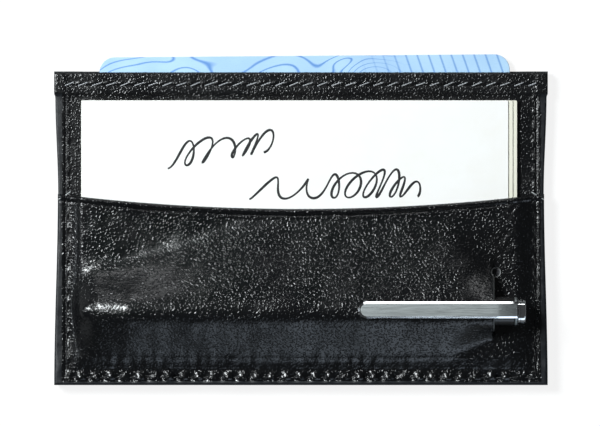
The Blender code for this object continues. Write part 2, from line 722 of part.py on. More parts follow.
def make_clip(steel, parent):
    """A spring-steel strip with a round free end; its root bends down onto the collar."""
    collar_start = UPPER_END_X + GAP
    collar_end = collar_start + COLLAR_LENGTH
    top = CLIP_UNDER_Z + CLIP_THICK
    foot = PEN_Z + PEN_RADIUS + 0.1
    half = CLIP_WIDTH / 2
    stations = []
    for degrees in (12, 30, 50, 70, 90):
        angle = math.radians(degrees)
        stations.append((CLIP_TIP_X + half * (1 - math.cos(angle)), half * math.sin(angle)))
    stations.append((CLIP_BEND_X - 0.6, half))
    bend = collar_start - CLIP_BEND_X
    shape = bmesh.new()
    rings = []
    for x, width in stations:
        rings.append([(x, -width, CLIP_UNDER_Z), (x, width, CLIP_UNDER_Z),
                      (x, width, top), (x, -width, top)])
    for share in (0.25, 0.5, 0.75, 1.0):
        x = CLIP_BEND_X + bend * share
        drop = (CLIP_UNDER_Z - foot - 0.15) * share ** 1.6
        rings.append([(x, -half, CLIP_UNDER_Z - drop), (x, half, CLIP_UNDER_Z - drop),
                      (x, half, top - drop), (x, -half, top - drop)])
    end_top = rings[-1][2][2] - 0.12
    rings.append([(collar_end, -half, foot), (collar_end, half, foot),
                  (collar_end, half, end_top), (collar_end, -half, end_top)])
    loops = [[shape.verts.new((x, y + CLIP_Y, z)) for x, y, z in ring] for ring in rings]
    for one, two in zip(loops, loops[1:]):
        for side in range(4):
            after = (side + 1) % 4
            shape.faces.new((one[side], one[after], two[after], two[side]))
    shape.faces.new(loops[0])
    shape.faces.new(loops[-1])
    mesh = finish_mesh("pen_clip", shape)
    root = Vector((collar_start + COLLAR_LENGTH / 2, PEN_Y, foot + 0.3)) * MM
    mesh.transform(Matrix.Translation(-root))
    hang(place("pen_clip", mesh, steel, root / MM), parent)


def main():
    clear_scene()
    leather = make_material("black_leather", (0.024, 0.030, 0.037), 0.38)
    panel_leather = make_material("panel_leather", (0.020, 0.024, 0.028), 0.45)
    cloth = make_material("lining_cloth", (0.02, 0.02, 0.023), 0.8)
    board = make_material("grey_board", (0.32, 0.31, 0.29), 0.85)
    linen = make_material("waxed_thread", (0.012, 0.012, 0.014), 0.55)
    paper = make_material("note_paper", (0.92, 0.91, 0.88), 0.8)
    plastic = make_material("blue_plastic", (0.47, 0.70, 0.94), 0.35)
    lacquer = make_material("black_lacquer", (0.01, 0.01, 0.012), 0.12)
    chrome = make_material("chrome", (0.78, 0.80, 0.81), 0.08, 1.0)
    steel = make_material("satin_steel", (0.45, 0.47, 0.48), 0.3, 1.0)
    brass = make_material("brass", (0.68, 0.50, 0.22), 0.3, 1.0)
    ink_plastic = make_material("refill_plastic", (0.05, 0.05, 0.06), 0.4)

    make_back_cover(leather)
    make_linings(cloth, board)
    make_middle_panel(panel_leather)
    make_cards(paper, plastic)
    make_front_pocket(leather)
    make_threads(linen)

    pen = axis_empty("pen_slide_axis", UPPER_END_X)
    lower = axis_empty("pen_twist_axis", SPLIT_X)
    make_upper_pen(lacquer, chrome, steel, brass, pen)
    make_clip(steel, pen)
    make_lower_pen(lacquer, chrome, brass, lower)
    make_refill(steel, brass, ink_plastic, lower)


main()
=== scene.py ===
"""Leather, thread, paper, plastic and pen of a pocket note-card case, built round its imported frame.

Run it as a script in Blender. Every size is in metres, in the frame's own place: the case lies
on its back with +X to the right, +Y towards the open top and +Z up.
"""

import math

import bmesh
import bpy
import numpy as np
from mathutils import Matrix, Vector


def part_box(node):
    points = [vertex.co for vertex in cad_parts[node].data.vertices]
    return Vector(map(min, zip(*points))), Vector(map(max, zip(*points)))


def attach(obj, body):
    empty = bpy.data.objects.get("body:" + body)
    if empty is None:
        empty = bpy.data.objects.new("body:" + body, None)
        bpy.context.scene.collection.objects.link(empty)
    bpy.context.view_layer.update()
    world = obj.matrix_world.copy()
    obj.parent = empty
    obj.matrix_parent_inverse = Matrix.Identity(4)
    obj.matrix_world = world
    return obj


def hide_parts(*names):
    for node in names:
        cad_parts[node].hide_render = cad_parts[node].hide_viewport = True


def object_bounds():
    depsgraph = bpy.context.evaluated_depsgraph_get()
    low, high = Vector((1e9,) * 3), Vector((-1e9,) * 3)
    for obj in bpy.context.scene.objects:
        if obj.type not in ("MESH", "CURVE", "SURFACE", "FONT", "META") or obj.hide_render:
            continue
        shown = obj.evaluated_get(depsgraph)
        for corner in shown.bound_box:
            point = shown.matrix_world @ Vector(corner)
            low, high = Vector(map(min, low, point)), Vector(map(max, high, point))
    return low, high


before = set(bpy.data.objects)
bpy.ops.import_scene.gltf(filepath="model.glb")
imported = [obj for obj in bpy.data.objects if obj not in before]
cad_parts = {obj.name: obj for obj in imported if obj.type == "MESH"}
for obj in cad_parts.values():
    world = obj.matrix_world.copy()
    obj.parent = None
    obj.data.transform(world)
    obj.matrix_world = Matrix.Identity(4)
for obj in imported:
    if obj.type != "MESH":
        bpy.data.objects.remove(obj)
CAD_LOW, CAD_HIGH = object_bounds()

bl_info = {
    "name": "Leather Note Card Case",
    "version": (1, 0, 0),
    "blender": (4, 5, 0),
    "location": "View3D > Sidebar > Note Case",
    "description": "Builds the leather, thread, paper and pen of a pocket note-card case",
    "category": "Object",
}

MM = 0.001

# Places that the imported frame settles.
POCKET_LOW, POCKET_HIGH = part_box("front_pocket")
PANEL_LOW, PANEL_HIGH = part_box("middle_panel")
COVER_LOW, COVER_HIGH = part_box("back_cover")
SEAM_LOW, SEAM_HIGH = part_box("seam_thread_front")
BACK_SEAM_LOW, BACK_SEAM_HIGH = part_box("seam_thread_back")
HEM_LOW, HEM_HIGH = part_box("hem_thread_front")
BACK_HEM_LOW, BACK_HEM_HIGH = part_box("hem_thread_back")
BARREL_LOW, BARREL_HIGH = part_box("pen_upper_barrel")
CLIP_LOW, CLIP_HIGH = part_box("pen_clip")
TOP_CARD_LOW, TOP_CARD_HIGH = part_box("note_card_1")

PEN_RADIUS = (BARREL_HIGH.z - BARREL_LOW.z) / 2
PEN_Y = (BARREL_HIGH.y + BARREL_LOW.y) / 2
PEN_Z = (BARREL_HIGH.z + BARREL_LOW.z) / 2
NOSE_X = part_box("pen_nose_cone")[0].x
SEAM_X = SEAM_HIGH.x - 0.15 * MM
SEAM_Y = SEAM_LOW.y + 0.15 * MM
HEM_SEAM_Y = (HEM_LOW.y + HEM_HIGH.y) / 2
CASE_HALF = COVER_HIGH.x
CLIP_BEND_X = CLIP_HIGH.x - 4.3 * MM
FLAT_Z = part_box("pen_guard")[1].z + 0.83 * MM   # outside of the pocket leather over the cards
FLANGE_TOP_Z = POCKET_LOW.z + 0.8 * MM   # outside of the sewn border


# ---------------------------------------------------------------- sizes and colours
def length(name, description, default):
    """A length property, in metres."""
    return bpy.props.FloatProperty(name=name, description=description, default=default,
                                   unit="LENGTH", subtype="DISTANCE", precision=5)


def tint(name, description, default):
    """A colour property."""
    return bpy.props.FloatVectorProperty(name=name, description=description, default=default,
                                         size=3, min=0.0, max=1.0, subtype="COLOR")


class CaseSizes(bpy.types.PropertyGroup):
    """Sizes of the leather work."""
    leather: length("Leather", "Thickness of the front pocket and the panel", 0.8 * MM)
    cover: length("Cover", "Thickness of the back cover", 0.9 * MM)
    pitch: length("Grid pitch", "Distance between two points of the leather", 0.37 * MM)
    round_edge: length("Edge radius", "Radius of a finished leather edge", 0.45 * MM)
    waist: length("Waist", "How far each side is drawn in at the pocket mouth", 0.85 * MM)
    mouth_dip: length("Mouth dip", "How far the pocket mouth dips in the middle", 3.1 * MM)
    turned: length("Turned edge", "Width of the turned edge of the pocket mouth", 1.35 * MM)
    hem: length("Hem", "Height of the hem band of the writing panel", 4.6 * MM)
    slit_x: length("Slit", "Place of the pen slit", 40.1 * MM)
    slit_low: length("Slit foot", "From the pen's axis down to the slit's lower end", 4.2 * MM)
    slit_high: length("Slit head", "From the pen's axis up to the slit's upper end", 8.9 * MM)
    stop_hole: length("Stop hole", "Radius of the hole at the slit's upper end", 0.95 * MM)
    drape_low: length("Lower drape", "From the pen's axis down to where the leather lies flat", 9.6 * MM)
    drape_high: length("Upper drape", "From the pen's axis up to where the leather lies flat", 16.5 * MM)
    hip: length("Hip", "Length of the slope past the pen's nose", 4.8 * MM)
    flange: length("Flange", "Width of the sewn border", 3.0 * MM)


class StitchSizes(bpy.types.PropertyGroup):
    """Sizes of the sewing."""
    pitch: length("Pitch", "From one stitch hole to the next", 3.05 * MM)
    hem_pitch: length("Hem pitch", "From one stitch hole of the hem to the next", 2.9 * MM)
    thread: length("Thread", "Radius of the thread", 0.12 * MM)
    share: bpy.props.FloatProperty(name="Stitch share",
                                   description="Share of the pitch that the thread spans",
                                   default=0.8, min=0.1, max=1.0, subtype="FACTOR")


class CaseColours(bpy.types.PropertyGroup):
    """Colours of the finishes."""
    leather: tint("Leather", "Black leather", (0.0020, 0.0022, 0.0026))
    leather_worn: tint("Worn leather", "Leather on its raised grain", (0.0050, 0.0057, 0.0068))
    edge: tint("Edge", "Painted leather edge", (0.006, 0.009, 0.013))
    # Raw edge: the grey of a cut leather edge, painted lighter as a painted highlight on the rims of the slit
    # and the stop hole.
    raw_edge_highlight: tint("Raw edge", "Cut edge of the leather", (0.30, 0.31, 0.31))
    thread: tint("Thread", "Waxed thread", (0.003, 0.003, 0.0035))
    # Tack and hem threads: black waxed thread painted light grey, a painted glint standing in for light on
    # the thread.
    tack: tint("Tack thread", "Thread of the tacks at the ends of the mouth", (0.20, 0.21, 0.21))
    hem: tint("Hem thread", "Thread of the hem", (0.20, 0.21, 0.22))
    lining: tint("Lining", "Woven lining", (0.020, 0.020, 0.023))
    board: tint("Board", "Pressed board", (0.32, 0.31, 0.29))
    paper: tint("Paper", "Face of the note cards", (0.90, 0.90, 0.885))
    # Lower paper: the same card stock as the top card, painted darker and yellower as shade under the top
    # card.
    paper_shaded_low: tint("Lower paper", "Face of the note cards under the top one", (0.80, 0.79, 0.67))
    paper_edge: tint("Paper edge", "Edge of the note cards", (0.80, 0.77, 0.68))
    ink: tint("Ink", "Ink of the note", (0.003, 0.003, 0.004))
    plastic: tint("Plastic", "Ground of the plastic card", (0.47, 0.70, 0.93))
    plastic_line: tint("Plastic lines", "Lines printed on the plastic card", (0.06, 0.22, 0.62))
    lacquer: tint("Lacquer", "Pen barrel", (0.006, 0.006, 0.008))
    chrome: tint("Chrome", "Polished pen fittings", (0.80, 0.82, 0.83))
    steel: tint("Steel", "Satin face of the clip", (0.45, 0.485, 0.485))
    brass: tint("Brass", "Works of the pen", (0.68, 0.50, 0.22))


# ---------------------------------------------------------------- node helpers
class NodeSheet:
    """Short ways to add and join nodes in one node tree."""

    def __init__(self, tree):
        self.tree = tree

    def node(self, kind, **settings):
        made = self.tree.nodes.new(kind)
        for key, value in settings.items():
            setattr(made, key, value)
        return made

    def feed(self, socket, value):
        """Give a socket a link or a plain value; a plain colour is opaque."""
        if isinstance(value, bpy.types.NodeSocket):
            self.tree.links.new(value, socket)
        elif socket.type == "RGBA":
            socket.default_value = (*value, 1.0)
        else:
            socket.default_value = value

    def add(self, kind, inputs, output=0, **settings):
        """Add a node, feed its inputs by name or number and return one of its outputs."""
        made = self.node(kind, **settings)
        for key, value in inputs.items():
            self.feed(made.inputs[key], value)
        return made.outputs[output]

    def math(self, operation, first, second=0.0, clamp=False):
        return self.add("ShaderNodeMath", {0: first, 1: second}, operation=operation, use_clamp=clamp)

    def span(self, value, low, high, new_low=0.0, new_high=1.0, soft=False):
        """Map a range to another one, clamped; soft eases in and out."""
        return self.add("ShaderNodeMapRange", dict(enumerate((value, low, high, new_low, new_high))),
                        interpolation_type="SMOOTHSTEP" if soft else "LINEAR")

    def mix(self, share, first, second):
        """Blend two colours."""
        return self.add("ShaderNodeMix", {0: share, 6: first, 7: second}, 2, data_type="RGBA")

    def noise(self, place, scale, detail=2.0, roughness=0.5, distortion=0.0):
        return self.add("ShaderNodeTexNoise", {"Vector": place, "Scale": scale, "Detail": detail,
                                               "Roughness": roughness, "Distortion": distortion}, "Fac")

    def stretched(self, place, scale, turn=0.0):
        """Scale and turn the coordinates of a pattern."""
        return self.add("ShaderNodeMapping", {"Vector": place, "Scale": scale, "Rotation": (0.0, 0.0, turn)})

    def bump(self, height, depth, strength=1.0, normal=None):
        inputs = {"Strength": strength, "Distance": depth, "Height": height}
        if normal is not None:
            inputs["Normal"] = normal
        return self.add("ShaderNodeBump", inputs)

    def split(self, place):
        """The three parts of a vector."""
        made = self.node("ShaderNodeSeparateXYZ")
        self.feed(made.inputs[0], place)
        return made.outputs

    def grouped(self, name, place, scale):
        """Place a shader node group on the coordinates of a pattern; returns its outputs."""
        made = self.node("ShaderNodeGroup", node_tree=shared_group(name))
        self.feed(made.inputs[0], place)
        self.feed(made.inputs[1], scale)
        return made.outputs


def new_group(name, kind, inputs, outputs):
    """A node group with named sockets; returns its sheet and the sockets of its two ends."""
    group = bpy.data.node_groups.new(name, kind)
    for in_out, sockets in (("INPUT", inputs), ("OUTPUT", outputs)):
        for label, socket in sockets.items():
            group.interface.new_socket(name=label, in_out=in_out, socket_type="NodeSocket" + socket)
    sheet = NodeSheet(group)
    return sheet, sheet.node("NodeGroupInput").outputs, sheet.node("NodeGroupOutput").inputs


def shared_group(name):
    """A node group by name, made the first time that it is asked for."""
    makers = {"hide grain": grain_group, "plain weave": weave_group, "stitch row": stitch_group}
    return bpy.data.node_groups.get(name) or makers[name](name)


def grain_group(name):
    """Pebbled hide: raised cells with fine creases between them."""
    sheet, entry, leave = new_group(name, "ShaderNodeTree", {"Place": "Vector", "Cells per metre": "Float"},
                                    {"Height": "Float", "Crease": "Float", "Patch": "Float"})
    place, scale = entry["Place"], entry["Cells per metre"]
    warp = 0.25
    wander = sheet.add("ShaderNodeTexNoise", {"Vector": place, "Scale": sheet.math("MULTIPLY", scale, 0.6)},
                       "Color")
    shift = sheet.add("ShaderNodeVectorMath", {0: wander, "Scale": sheet.math("DIVIDE", warp, scale)},
                      operation="SCALE")
    moved = sheet.add("ShaderNodeVectorMath", {0: place, 1: shift}, operation="ADD")
    cells = sheet.add("ShaderNodeTexVoronoi", {"Vector": moved, "Scale": scale}, "Distance",
                      feature="DISTANCE_TO_EDGE")
    crease = sheet.span(cells, 0.0, 0.3)
    small = sheet.noise(moved, scale, 0.4)
    pebble = sheet.span(small, 0.50, 0.72, soft=True)
    height = sheet.math("ADD", sheet.math("MULTIPLY", crease, 0.10), sheet.math("MULTIPLY", small, 0.15))
    sheet.feed(leave["Height"], sheet.math("ADD", height, sheet.math("MULTIPLY", pebble, 0.75)))
    sheet.feed(leave["Crease"], crease)
    sheet.feed(leave["Patch"], sheet.noise(place, 130.0, 3.0, 0.55))
    return sheet.tree


def weave_group(name):
    """Plain weave: warp and weft threads that pass over and under each other."""
    sheet, entry, leave = new_group(name, "ShaderNodeTree", {"Place": "Vector", "Threads per metre": "Float"},
                                    {"Height": "Float", "Thread": "Float"})
    parts = sheet.split(entry["Place"])
    waves = []
    for axis in (0, 1):
        turn = sheet.math("MULTIPLY", parts[axis], entry["Threads per metre"])
        waves.append(sheet.math("SINE", sheet.math("MULTIPLY", turn, math.pi)))
    product = sheet.math("MULTIPLY", waves[0], waves[1])
    height = sheet.math("ADD", sheet.math("ABSOLUTE", product), sheet.math("MULTIPLY", waves[0], 0.2))
    sheet.feed(leave["Height"], height)
    sheet.feed(leave["Thread"], sheet.math("ABSOLUTE", waves[1]))
    return sheet.tree


# ---------------------------------------------------------------- finishes
def shade(colour, share):
    """A colour made darker or lighter."""
    return [share * part for part in colour]


def leather(sheet, place, colours, shine, cells, depth):
    """Black leather with a fine pebbled grain and a soft wax shine."""
    grain = sheet.grouped("hide grain", place, cells)
    tone = sheet.math("MULTIPLY", grain["Crease"], grain["Patch"])
    rough = sheet.span(grain["Patch"], 0.3, 0.7, shine + 0.07, shine - 0.05)
    broad = sheet.bump(sheet.noise(place, 420.0, 1.0), 0.02 * MM, 0.5)
    return {"Base Color": sheet.mix(tone, colours.leather, colours.leather_worn),
            "Roughness": sheet.math("ADD", rough, sheet.math("MULTIPLY", grain["Crease"], -0.04)),
            "Normal": sheet.bump(grain["Height"], depth, 1.0, broad),
            "Specular IOR Level": 0.55}


def patterned(sheet, place, scale, low, high, rough, bump=None, stretch=(1.0, 1.0, 1.0), detail=2.0,
              chop=0.5, contrast=None, more=None):
    """One noise that sets the colour from low to high, the roughness and a bump (depth, strength)."""
    pattern = sheet.noise(sheet.stretched(place, stretch), scale, detail, chop)
    share = sheet.span(pattern, *contrast) if contrast else pattern
    made = {"Base Color": sheet.mix(share, low, high), "Roughness": sheet.span(pattern, 0.3, 0.7, *rough)}
    if bump:
        made["Normal"] = sheet.bump(pattern, *bump)
    return {**made, **(more or {})}


def thread(sheet, place, colour):
    """Waxed twisted thread."""
    ply = sheet.add("ShaderNodeTexWave", {"Vector": place, "Scale": 900.0, "Distortion": 1.0}, "Fac",
                    bands_direction="DIAGONAL")
    return {"Base Color": sheet.mix(ply, colour, shade(colour, 2.2)),
            "Roughness": sheet.span(sheet.noise(place, 9000.0), 0.3, 0.7, 0.3, 0.5),
            "Normal": sheet.bump(ply, 0.05 * MM, 0.8)}


def woven(sheet, place, colour):
    """Thin woven lining."""
    weave = sheet.grouped("plain weave", place, 3000.0)
    return {"Base Color": sheet.mix(weave["Thread"], colour, shade(colour, 2.2)),
            "Roughness": sheet.span(weave["Height"], 0.0, 1.0, 0.85, 0.65),
            "Normal": sheet.bump(weave["Height"], 0.06 * MM)}


def paper(sheet, place, face, shadow):
    """Uncoated card stock: faint fibres and a little tooth."""
    cloud = sheet.noise(place, 160.0, 3.0, 0.6)
    tooth = sheet.noise(sheet.stretched(place, (1.0, 2.2, 1.0), 0.3), 3500.0, 3.0, 0.6)
    return {"Base Color": sheet.mix(sheet.span(cloud, 0.35, 0.75, 0.0, 0.25), face, shadow),
            "Roughness": sheet.span(tooth, 0.3, 0.7, 0.9, 0.75),
            "Normal": sheet.bump(tooth, 0.02 * MM, 0.6),
            "Specular IOR Level": 0.25}


def thin_lines(sheet, field, repeats, strength):
    """Thin lines, one at each step of a field."""
    steps = sheet.math("FRACT", sheet.math("MULTIPLY", field, repeats))
    from_line = sheet.math("ABSOLUTE", sheet.math("SUBTRACT", steps, 0.5))
    return sheet.span(from_line, 0.02, 0.13, strength, 0.0)


def printed(sheet, place, ground, ink):
    """Printed plastic: pale ground with thin contour lines and finer rules at one end."""
    x, y, _ = sheet.split(place)
    field = sheet.noise(sheet.stretched(place, (1.0, 1.5, 1.0), 0.5), 42.0, 1.0, 0.4, 0.6)
    contours = thin_lines(sheet, field, 17.0, 1.0)
    rules = thin_lines(sheet, sheet.math("ADD", x, sheet.math("MULTIPLY", y, 0.35)), 420.0, 0.8)
    at_end = sheet.span(x, 12 * MM, 22 * MM)
    lines = sheet.math("ADD", sheet.math("MULTIPLY", contours, sheet.math("SUBTRACT", 1.0, at_end)),
                       sheet.math("MULTIPLY", rules, at_end), clamp=True)
    cloud = sheet.span(sheet.noise(place, 90.0), 0.4, 0.7, 0.0, 0.18)
    scuff = sheet.noise(sheet.stretched(place, (1.0, 6.0, 1.0), 0.2), 600.0, 4.0, 0.7)
    return {"Base Color": sheet.mix(sheet.math("MULTIPLY", lines, 0.8), sheet.mix(cloud, ground, ink), ink),
            "Roughness": sheet.span(scuff, 0.35, 0.75, 0.26, 0.42),
            "Normal": sheet.bump(scuff, 0.004 * MM, 0.6),
            "Coat Weight": 0.3}


def metal(sheet, place, colour, rough, stretch=(1.0, 30.0, 30.0), depth=0.004 * MM):
    """Brushed metal; stretch draws the scratches out."""
    return patterned(sheet, place, 260.0, shade(colour, 0.86), colour, (0.75 * rough, 1.3 * rough),
                     (depth, 0.5), stretch, 4.0, 0.7, (0.35, 0.7), {"Metallic": 1.0})


def sweep(sheet, place):
    """The studio floor: white to the camera and grey to everything else."""
    seen = sheet.node("ShaderNodeLightPath").outputs["Is Camera Ray"]
    return {"Base Color": sheet.mix(sheet.noise(place, 3.0), (0.15, 0.15, 0.15), (0.16, 0.16, 0.16)),
            "Roughness": 0.9,
            "Emission Color": (1.0, 1.0, 1.0),
            "Emission Strength": sheet.math("MULTIPLY", seen, 0.86)}


def finish(name):
    """A finish by name, made the first time that it is asked for."""
    if name in bpy.data.materials:
        return bpy.data.materials[name]
    tints = bpy.context.scene.case_colours
    makers = {
        "pocket_leather": (leather, dict(colours=tints, shine=0.22, cells=2200.0, depth=0.080 * MM)),
        "panel_leather": (leather, dict(colours=tints, shine=0.26, cells=2400.0, depth=0.060 * MM)),
        "cover_leather": (leather, dict(colours=tints, shine=0.24, cells=2300.0, depth=0.080 * MM)),
        "edge_paint": (patterned, dict(scale=1500.0, low=tints.leather, high=tints.edge, rough=(0.32, 0.5),
                                       bump=(0.04 * MM, 0.7), stretch=(1.0, 1.0, 4.0), detail=4.0, chop=0.6)),
        # Cut walls of the slit and stop hole: a real cut edge, painted light grey as a painted highlight on
        # their rims.
        "cut_leather_painted_highlight": (patterned, dict(scale=2200.0, low=shade(tints.raw_edge_highlight, 0.6), high=tints.raw_edge_highlight,
                                        rough=(0.45, 0.7), bump=(0.03 * MM, 0.5), stretch=(1.0, 1.0, 3.0),
                                        detail=3.0, chop=0.6)),
        "waxed_thread": (thread, dict(colour=tints.thread)),
        # The tack and hem threads are painted grey as glints on black waxed thread.
        "tack_thread_painted_glint": (thread, dict(colour=tints.tack)),
        "hem_thread": (thread, dict(colour=tints.hem)),
        "woven_lining": (woven, dict(colour=tints.lining)),
        "pressed_board": (patterned, dict(scale=700.0, low=shade(tints.board, 0.7), high=tints.board,
                                          rough=(0.95, 0.8), bump=(0.03 * MM, 1.0), stretch=(1.0, 3.0, 6.0),
                                          detail=5.0, chop=0.65)),
        "card_face": (paper, dict(face=tints.paper, shadow=tints.paper_edge)),
        # The cards under the top one: the same paper with painted shade, darker and yellower.
        "shaded_lower_card_face": (paper, dict(face=tints.paper_shaded_low, shadow=tints.paper_edge)),
        "card_edge": (paper, dict(face=tints.paper_edge, shadow=shade(tints.paper_edge, 0.8))),
        "note_ink": (patterned, dict(scale=1200.0, low=tints.ink, high=shade(tints.ink, 1.6),
                                     rough=(0.45, 0.65))),
        "printed_plastic": (printed, dict(ground=tints.plastic, ink=tints.plastic_line)),
        "black_lacquer": (patterned, dict(scale=300.0, low=tints.lacquer, high=shade(tints.lacquer, 2.0),
                                          rough=(0.07, 0.14), bump=(0.01 * MM, 0.4),
                                          more={"Coat Weight": 0.6, "Coat Roughness": 0.05})),
        "polished_chrome": (metal, dict(colour=tints.chrome, rough=0.06)),
        "satin_steel": (metal, dict(colour=tints.steel, rough=0.5, depth=0.003 * MM)),
        "turned_brass": (metal, dict(colour=tints.brass, rough=0.25, stretch=(30.0, 1.0, 1.0))),
        "refill_plastic": (patterned, dict(scale=500.0, low=(0.03, 0.03, 0.04), high=(0.07, 0.07, 0.08),
                                           rough=(0.3, 0.45))),
        "white_sweep": (sweep, {}),
    }
    made = bpy.data.materials.new(name)
    made.use_nodes = True
    shader = made.node_tree.nodes["Principled BSDF"]
    sheet = NodeSheet(made.node_tree)
    place = sheet.node("ShaderNodeTexCoord").outputs["Object"]
    maker, settings = makers[name]
    for label, value in maker(sheet, place, **settings).items():
        sheet.feed(shader.inputs[label], value)
    return made


# ---------------------------------------------------------------- mesh helpers
def smooth(value, start, end):
    """0 at start, 1 at end, with soft ends."""
    share = np.clip((value - start) / (end - start), 0.0, 1.0)
    return share * share * (3 - 2 * share)


def hump(distance, width):
    """A soft bell: 1 in the middle, next to nothing past twice the width."""
    return np.exp(-(distance / width) ** 2)


def ripples(x, y, wavelength, seed, stretch=1.0, turn=0.0, count=14):
    """A smooth random surface of about -1 to 1, from plane waves with fixed seeds.

    stretch lengthens the waves along their own X, which is turned by turn.
    """
    draw = np.random.default_rng(seed)
    along = (x * math.cos(turn) + y * math.sin(turn)) / stretch
    across = -x * math.sin(turn) + y * math.cos(turn)
    total = np.zeros_like(x)
    for _ in range(count):
        angle = draw.uniform(0, 2 * math.pi)
        size = wavelength * draw.uniform(0.7, 1.5)
        phase = draw.uniform(0, 2 * math.pi)
        total += np.sin(2 * math.pi * (along * math.cos(angle) + across * math.sin(angle)) / size + phase)
    return total / math.sqrt(count)


def edge_stations(low, high, pitch, radius, fine_low=0.0, fine_high=0.0):
    """Stations from low to high, closest where the edge rounds over and at half pitch in the fine zones."""
    near = radius * np.array([0.0, 0.12, 0.35, 0.65, 1.0])
    marks = [low + radius, low + radius + fine_low, high - radius - fine_high, high - radius]
    middle = []
    for start, end, step in zip(marks, marks[1:], (pitch / 2, pitch, pitch / 2)):
        if end - start > 0:
            count = max(2, round((end - start) / step))
            middle.append(np.linspace(start, end, count + 1)[:-1])
    return np.concatenate([low + near[:-1]] + middle + [high - near[::-1]])


def rounding(distance, radius):
    """How far a surface lies below its crown at a distance from its rounded edge."""
    left = np.clip(1 - distance / radius, 0.0, 1.0)
    return radius * (1 - np.sqrt(np.clip(1 - left * left, 0.0, 1.0)))


def case_half_width(y):
    """Half the width of the case at y: drawn in a little at the pocket mouth."""
    waist = bpy.context.scene.case_sizes.waist
    mouth = POCKET_HIGH.y
    above = smooth(y, mouth, COVER_HIGH.y - 5 * MM)
    below = smooth(-y, -mouth, -COVER_LOW.y)
    drawn_in = np.where(y > mouth, waist * (1 - above) + 0.25 * MM * above,
                        waist * (1 - below) + 0.1 * MM * below)
    hem = smooth(y, 27.4 * MM, 28.2 * MM)
    return CASE_HALF - drawn_in * (1 - hem)


def follow_outline(x, y, half):
    """Shift points near the left and right sides so that they follow the outline."""
    share = smooth(np.abs(x), half - 6 * MM, half - 1 * MM)
    return x + np.sign(x) * share * (case_half_width(y) - half)


def offset_down(points, thickness):
    """The other side of a sheet: each point moved in by the thickness along the normal."""
    along = np.gradient(points, axis=0)
    across = np.gradient(points, axis=1)
    normal = np.cross(along, across)
    normal /= np.maximum(np.linalg.norm(normal, axis=2, keepdims=True), 1e-12)
    return points - normal * thickness


def plain_mesh(name, points, faces, finishes, slots, sharp):
    """A smooth mesh with a finish for each face, and edges that stay sharp above an angle in degrees."""
    mesh = bpy.data.meshes.new(name)
    mesh.from_pydata(points, [], faces)
    for made in finishes:
        mesh.materials.append(finish(made))
    mesh.polygons.foreach_set("material_index", slots)
    mesh.shade_smooth()
    mesh.set_sharp_from_angle(angle=math.radians(sharp))
    mesh.update()
    return mesh


def shell_mesh(name, top, bottom, keep, finishes, rim=None, cut=None):
    """A closed sheet from two grids of points and a mask of the cells that are there.

    Its walls and the cells of rim take the second finish, and walls inside the circle cut (x, y, radius)
    the third one.
    """
    columns, rows = top.shape[:2]
    count = columns * rows
    points = np.concatenate([top.reshape(-1, 3), bottom.reshape(-1, 3)])
    index = np.arange(count).reshape(columns, rows)
    corners = {"a": index[:-1, :-1], "b": index[1:, :-1], "c": index[1:, 1:], "d": index[:-1, 1:]}
    a, b, c, d = (corners[key][keep] for key in "abcd")
    faces = [np.stack([a, b, c, d], 1), np.stack([a, d, c, b], 1) + count]
    guard = np.pad(keep, 1)
    sides = (((0, 1), "ad"), ((2, 1), "cb"), ((1, 0), "ba"), ((1, 2), "dc"))
    for (step_x, step_y), ends in sides:
        beside = guard[step_x:step_x + keep.shape[0], step_y:step_y + keep.shape[1]]
        start, end = (corners[key][keep & ~beside] for key in ends)
        faces.append(np.stack([start, end, end + count, start + count], 1))
    cells = len(faces[0])
    faces = np.concatenate(faces)
    slots = np.zeros(len(faces), np.int32)
    slots[2 * cells:] = 1
    if rim is not None:
        slots[:cells] = rim[keep]
    if cut is not None:
        centres = points[faces].mean(axis=1)
        away = np.hypot(centres[:, 0] - cut[0], centres[:, 1] - cut[1])
        slots[(slots == 1) & (away < cut[2])] = 2
    used, faces = np.unique(faces, return_inverse=True)
    return plain_mesh(name, points[used].tolist(), faces.reshape(-1, 4).tolist(), finishes, slots, 50)


def add_piece(name, mesh, body, slot, *nodes):
    """Link a finished mesh, ride it on its body and let it stand for its CAD nodes, if it has any."""
    piece = bpy.data.objects.new(name, mesh)
    bpy.context.scene.collection.objects.link(piece)
    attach(piece, body)
    if nodes:
        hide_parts(*nodes)


def turned_mesh(name, profile, made, sides=96):
    """Turn a closed profile of (x, radius) about the pen's axis."""
    points, faces, rings = [], [], []
    for x, radius in profile:
        ring = []
        for side in range(sides if radius > 0 else 1):
            angle = 2 * math.pi * side / sides
            ring.append(len(points))
            points.append((x, PEN_Y - radius * math.sin(angle), PEN_Z + radius * math.cos(angle)))
        rings.append(ring)
    for one, two in zip(rings, rings[1:] + rings[:1]):
        if len(one) == 1 and len(two) == 1:
            continue
        for side in range(sides):
            after = (side + 1) % sides
            quad = [one[side % len(one)], one[after % len(one)], two[after % len(two)], two[side % len(two)]]
            faces.append(list(dict.fromkeys(quad)))
    return plain_mesh(name, points, faces, (made,), [0] * len(faces), 35)


def arc_points(x, radius, bend, start, end, steps=5):
    """Points of an arc about (x, radius) with the radius bend; angles in degrees."""
    angles = [math.radians(start + (end - start) * step / steps) for step in range(steps + 1)]
    return [(x + bend * math.cos(angle), radius + bend * math.sin(angle)) for angle in angles]


# ---------------------------------------------------------------- the leather
def mouth_line(x):
    """The pocket mouth: a shallow arc."""
    dip = bpy.context.scene.case_sizes.mouth_dip
    return POCKET_HIGH.y - dip * (1 - np.clip(np.abs(x) / (CASE_HALF - 0.9 * MM), 0, 1) ** 2)


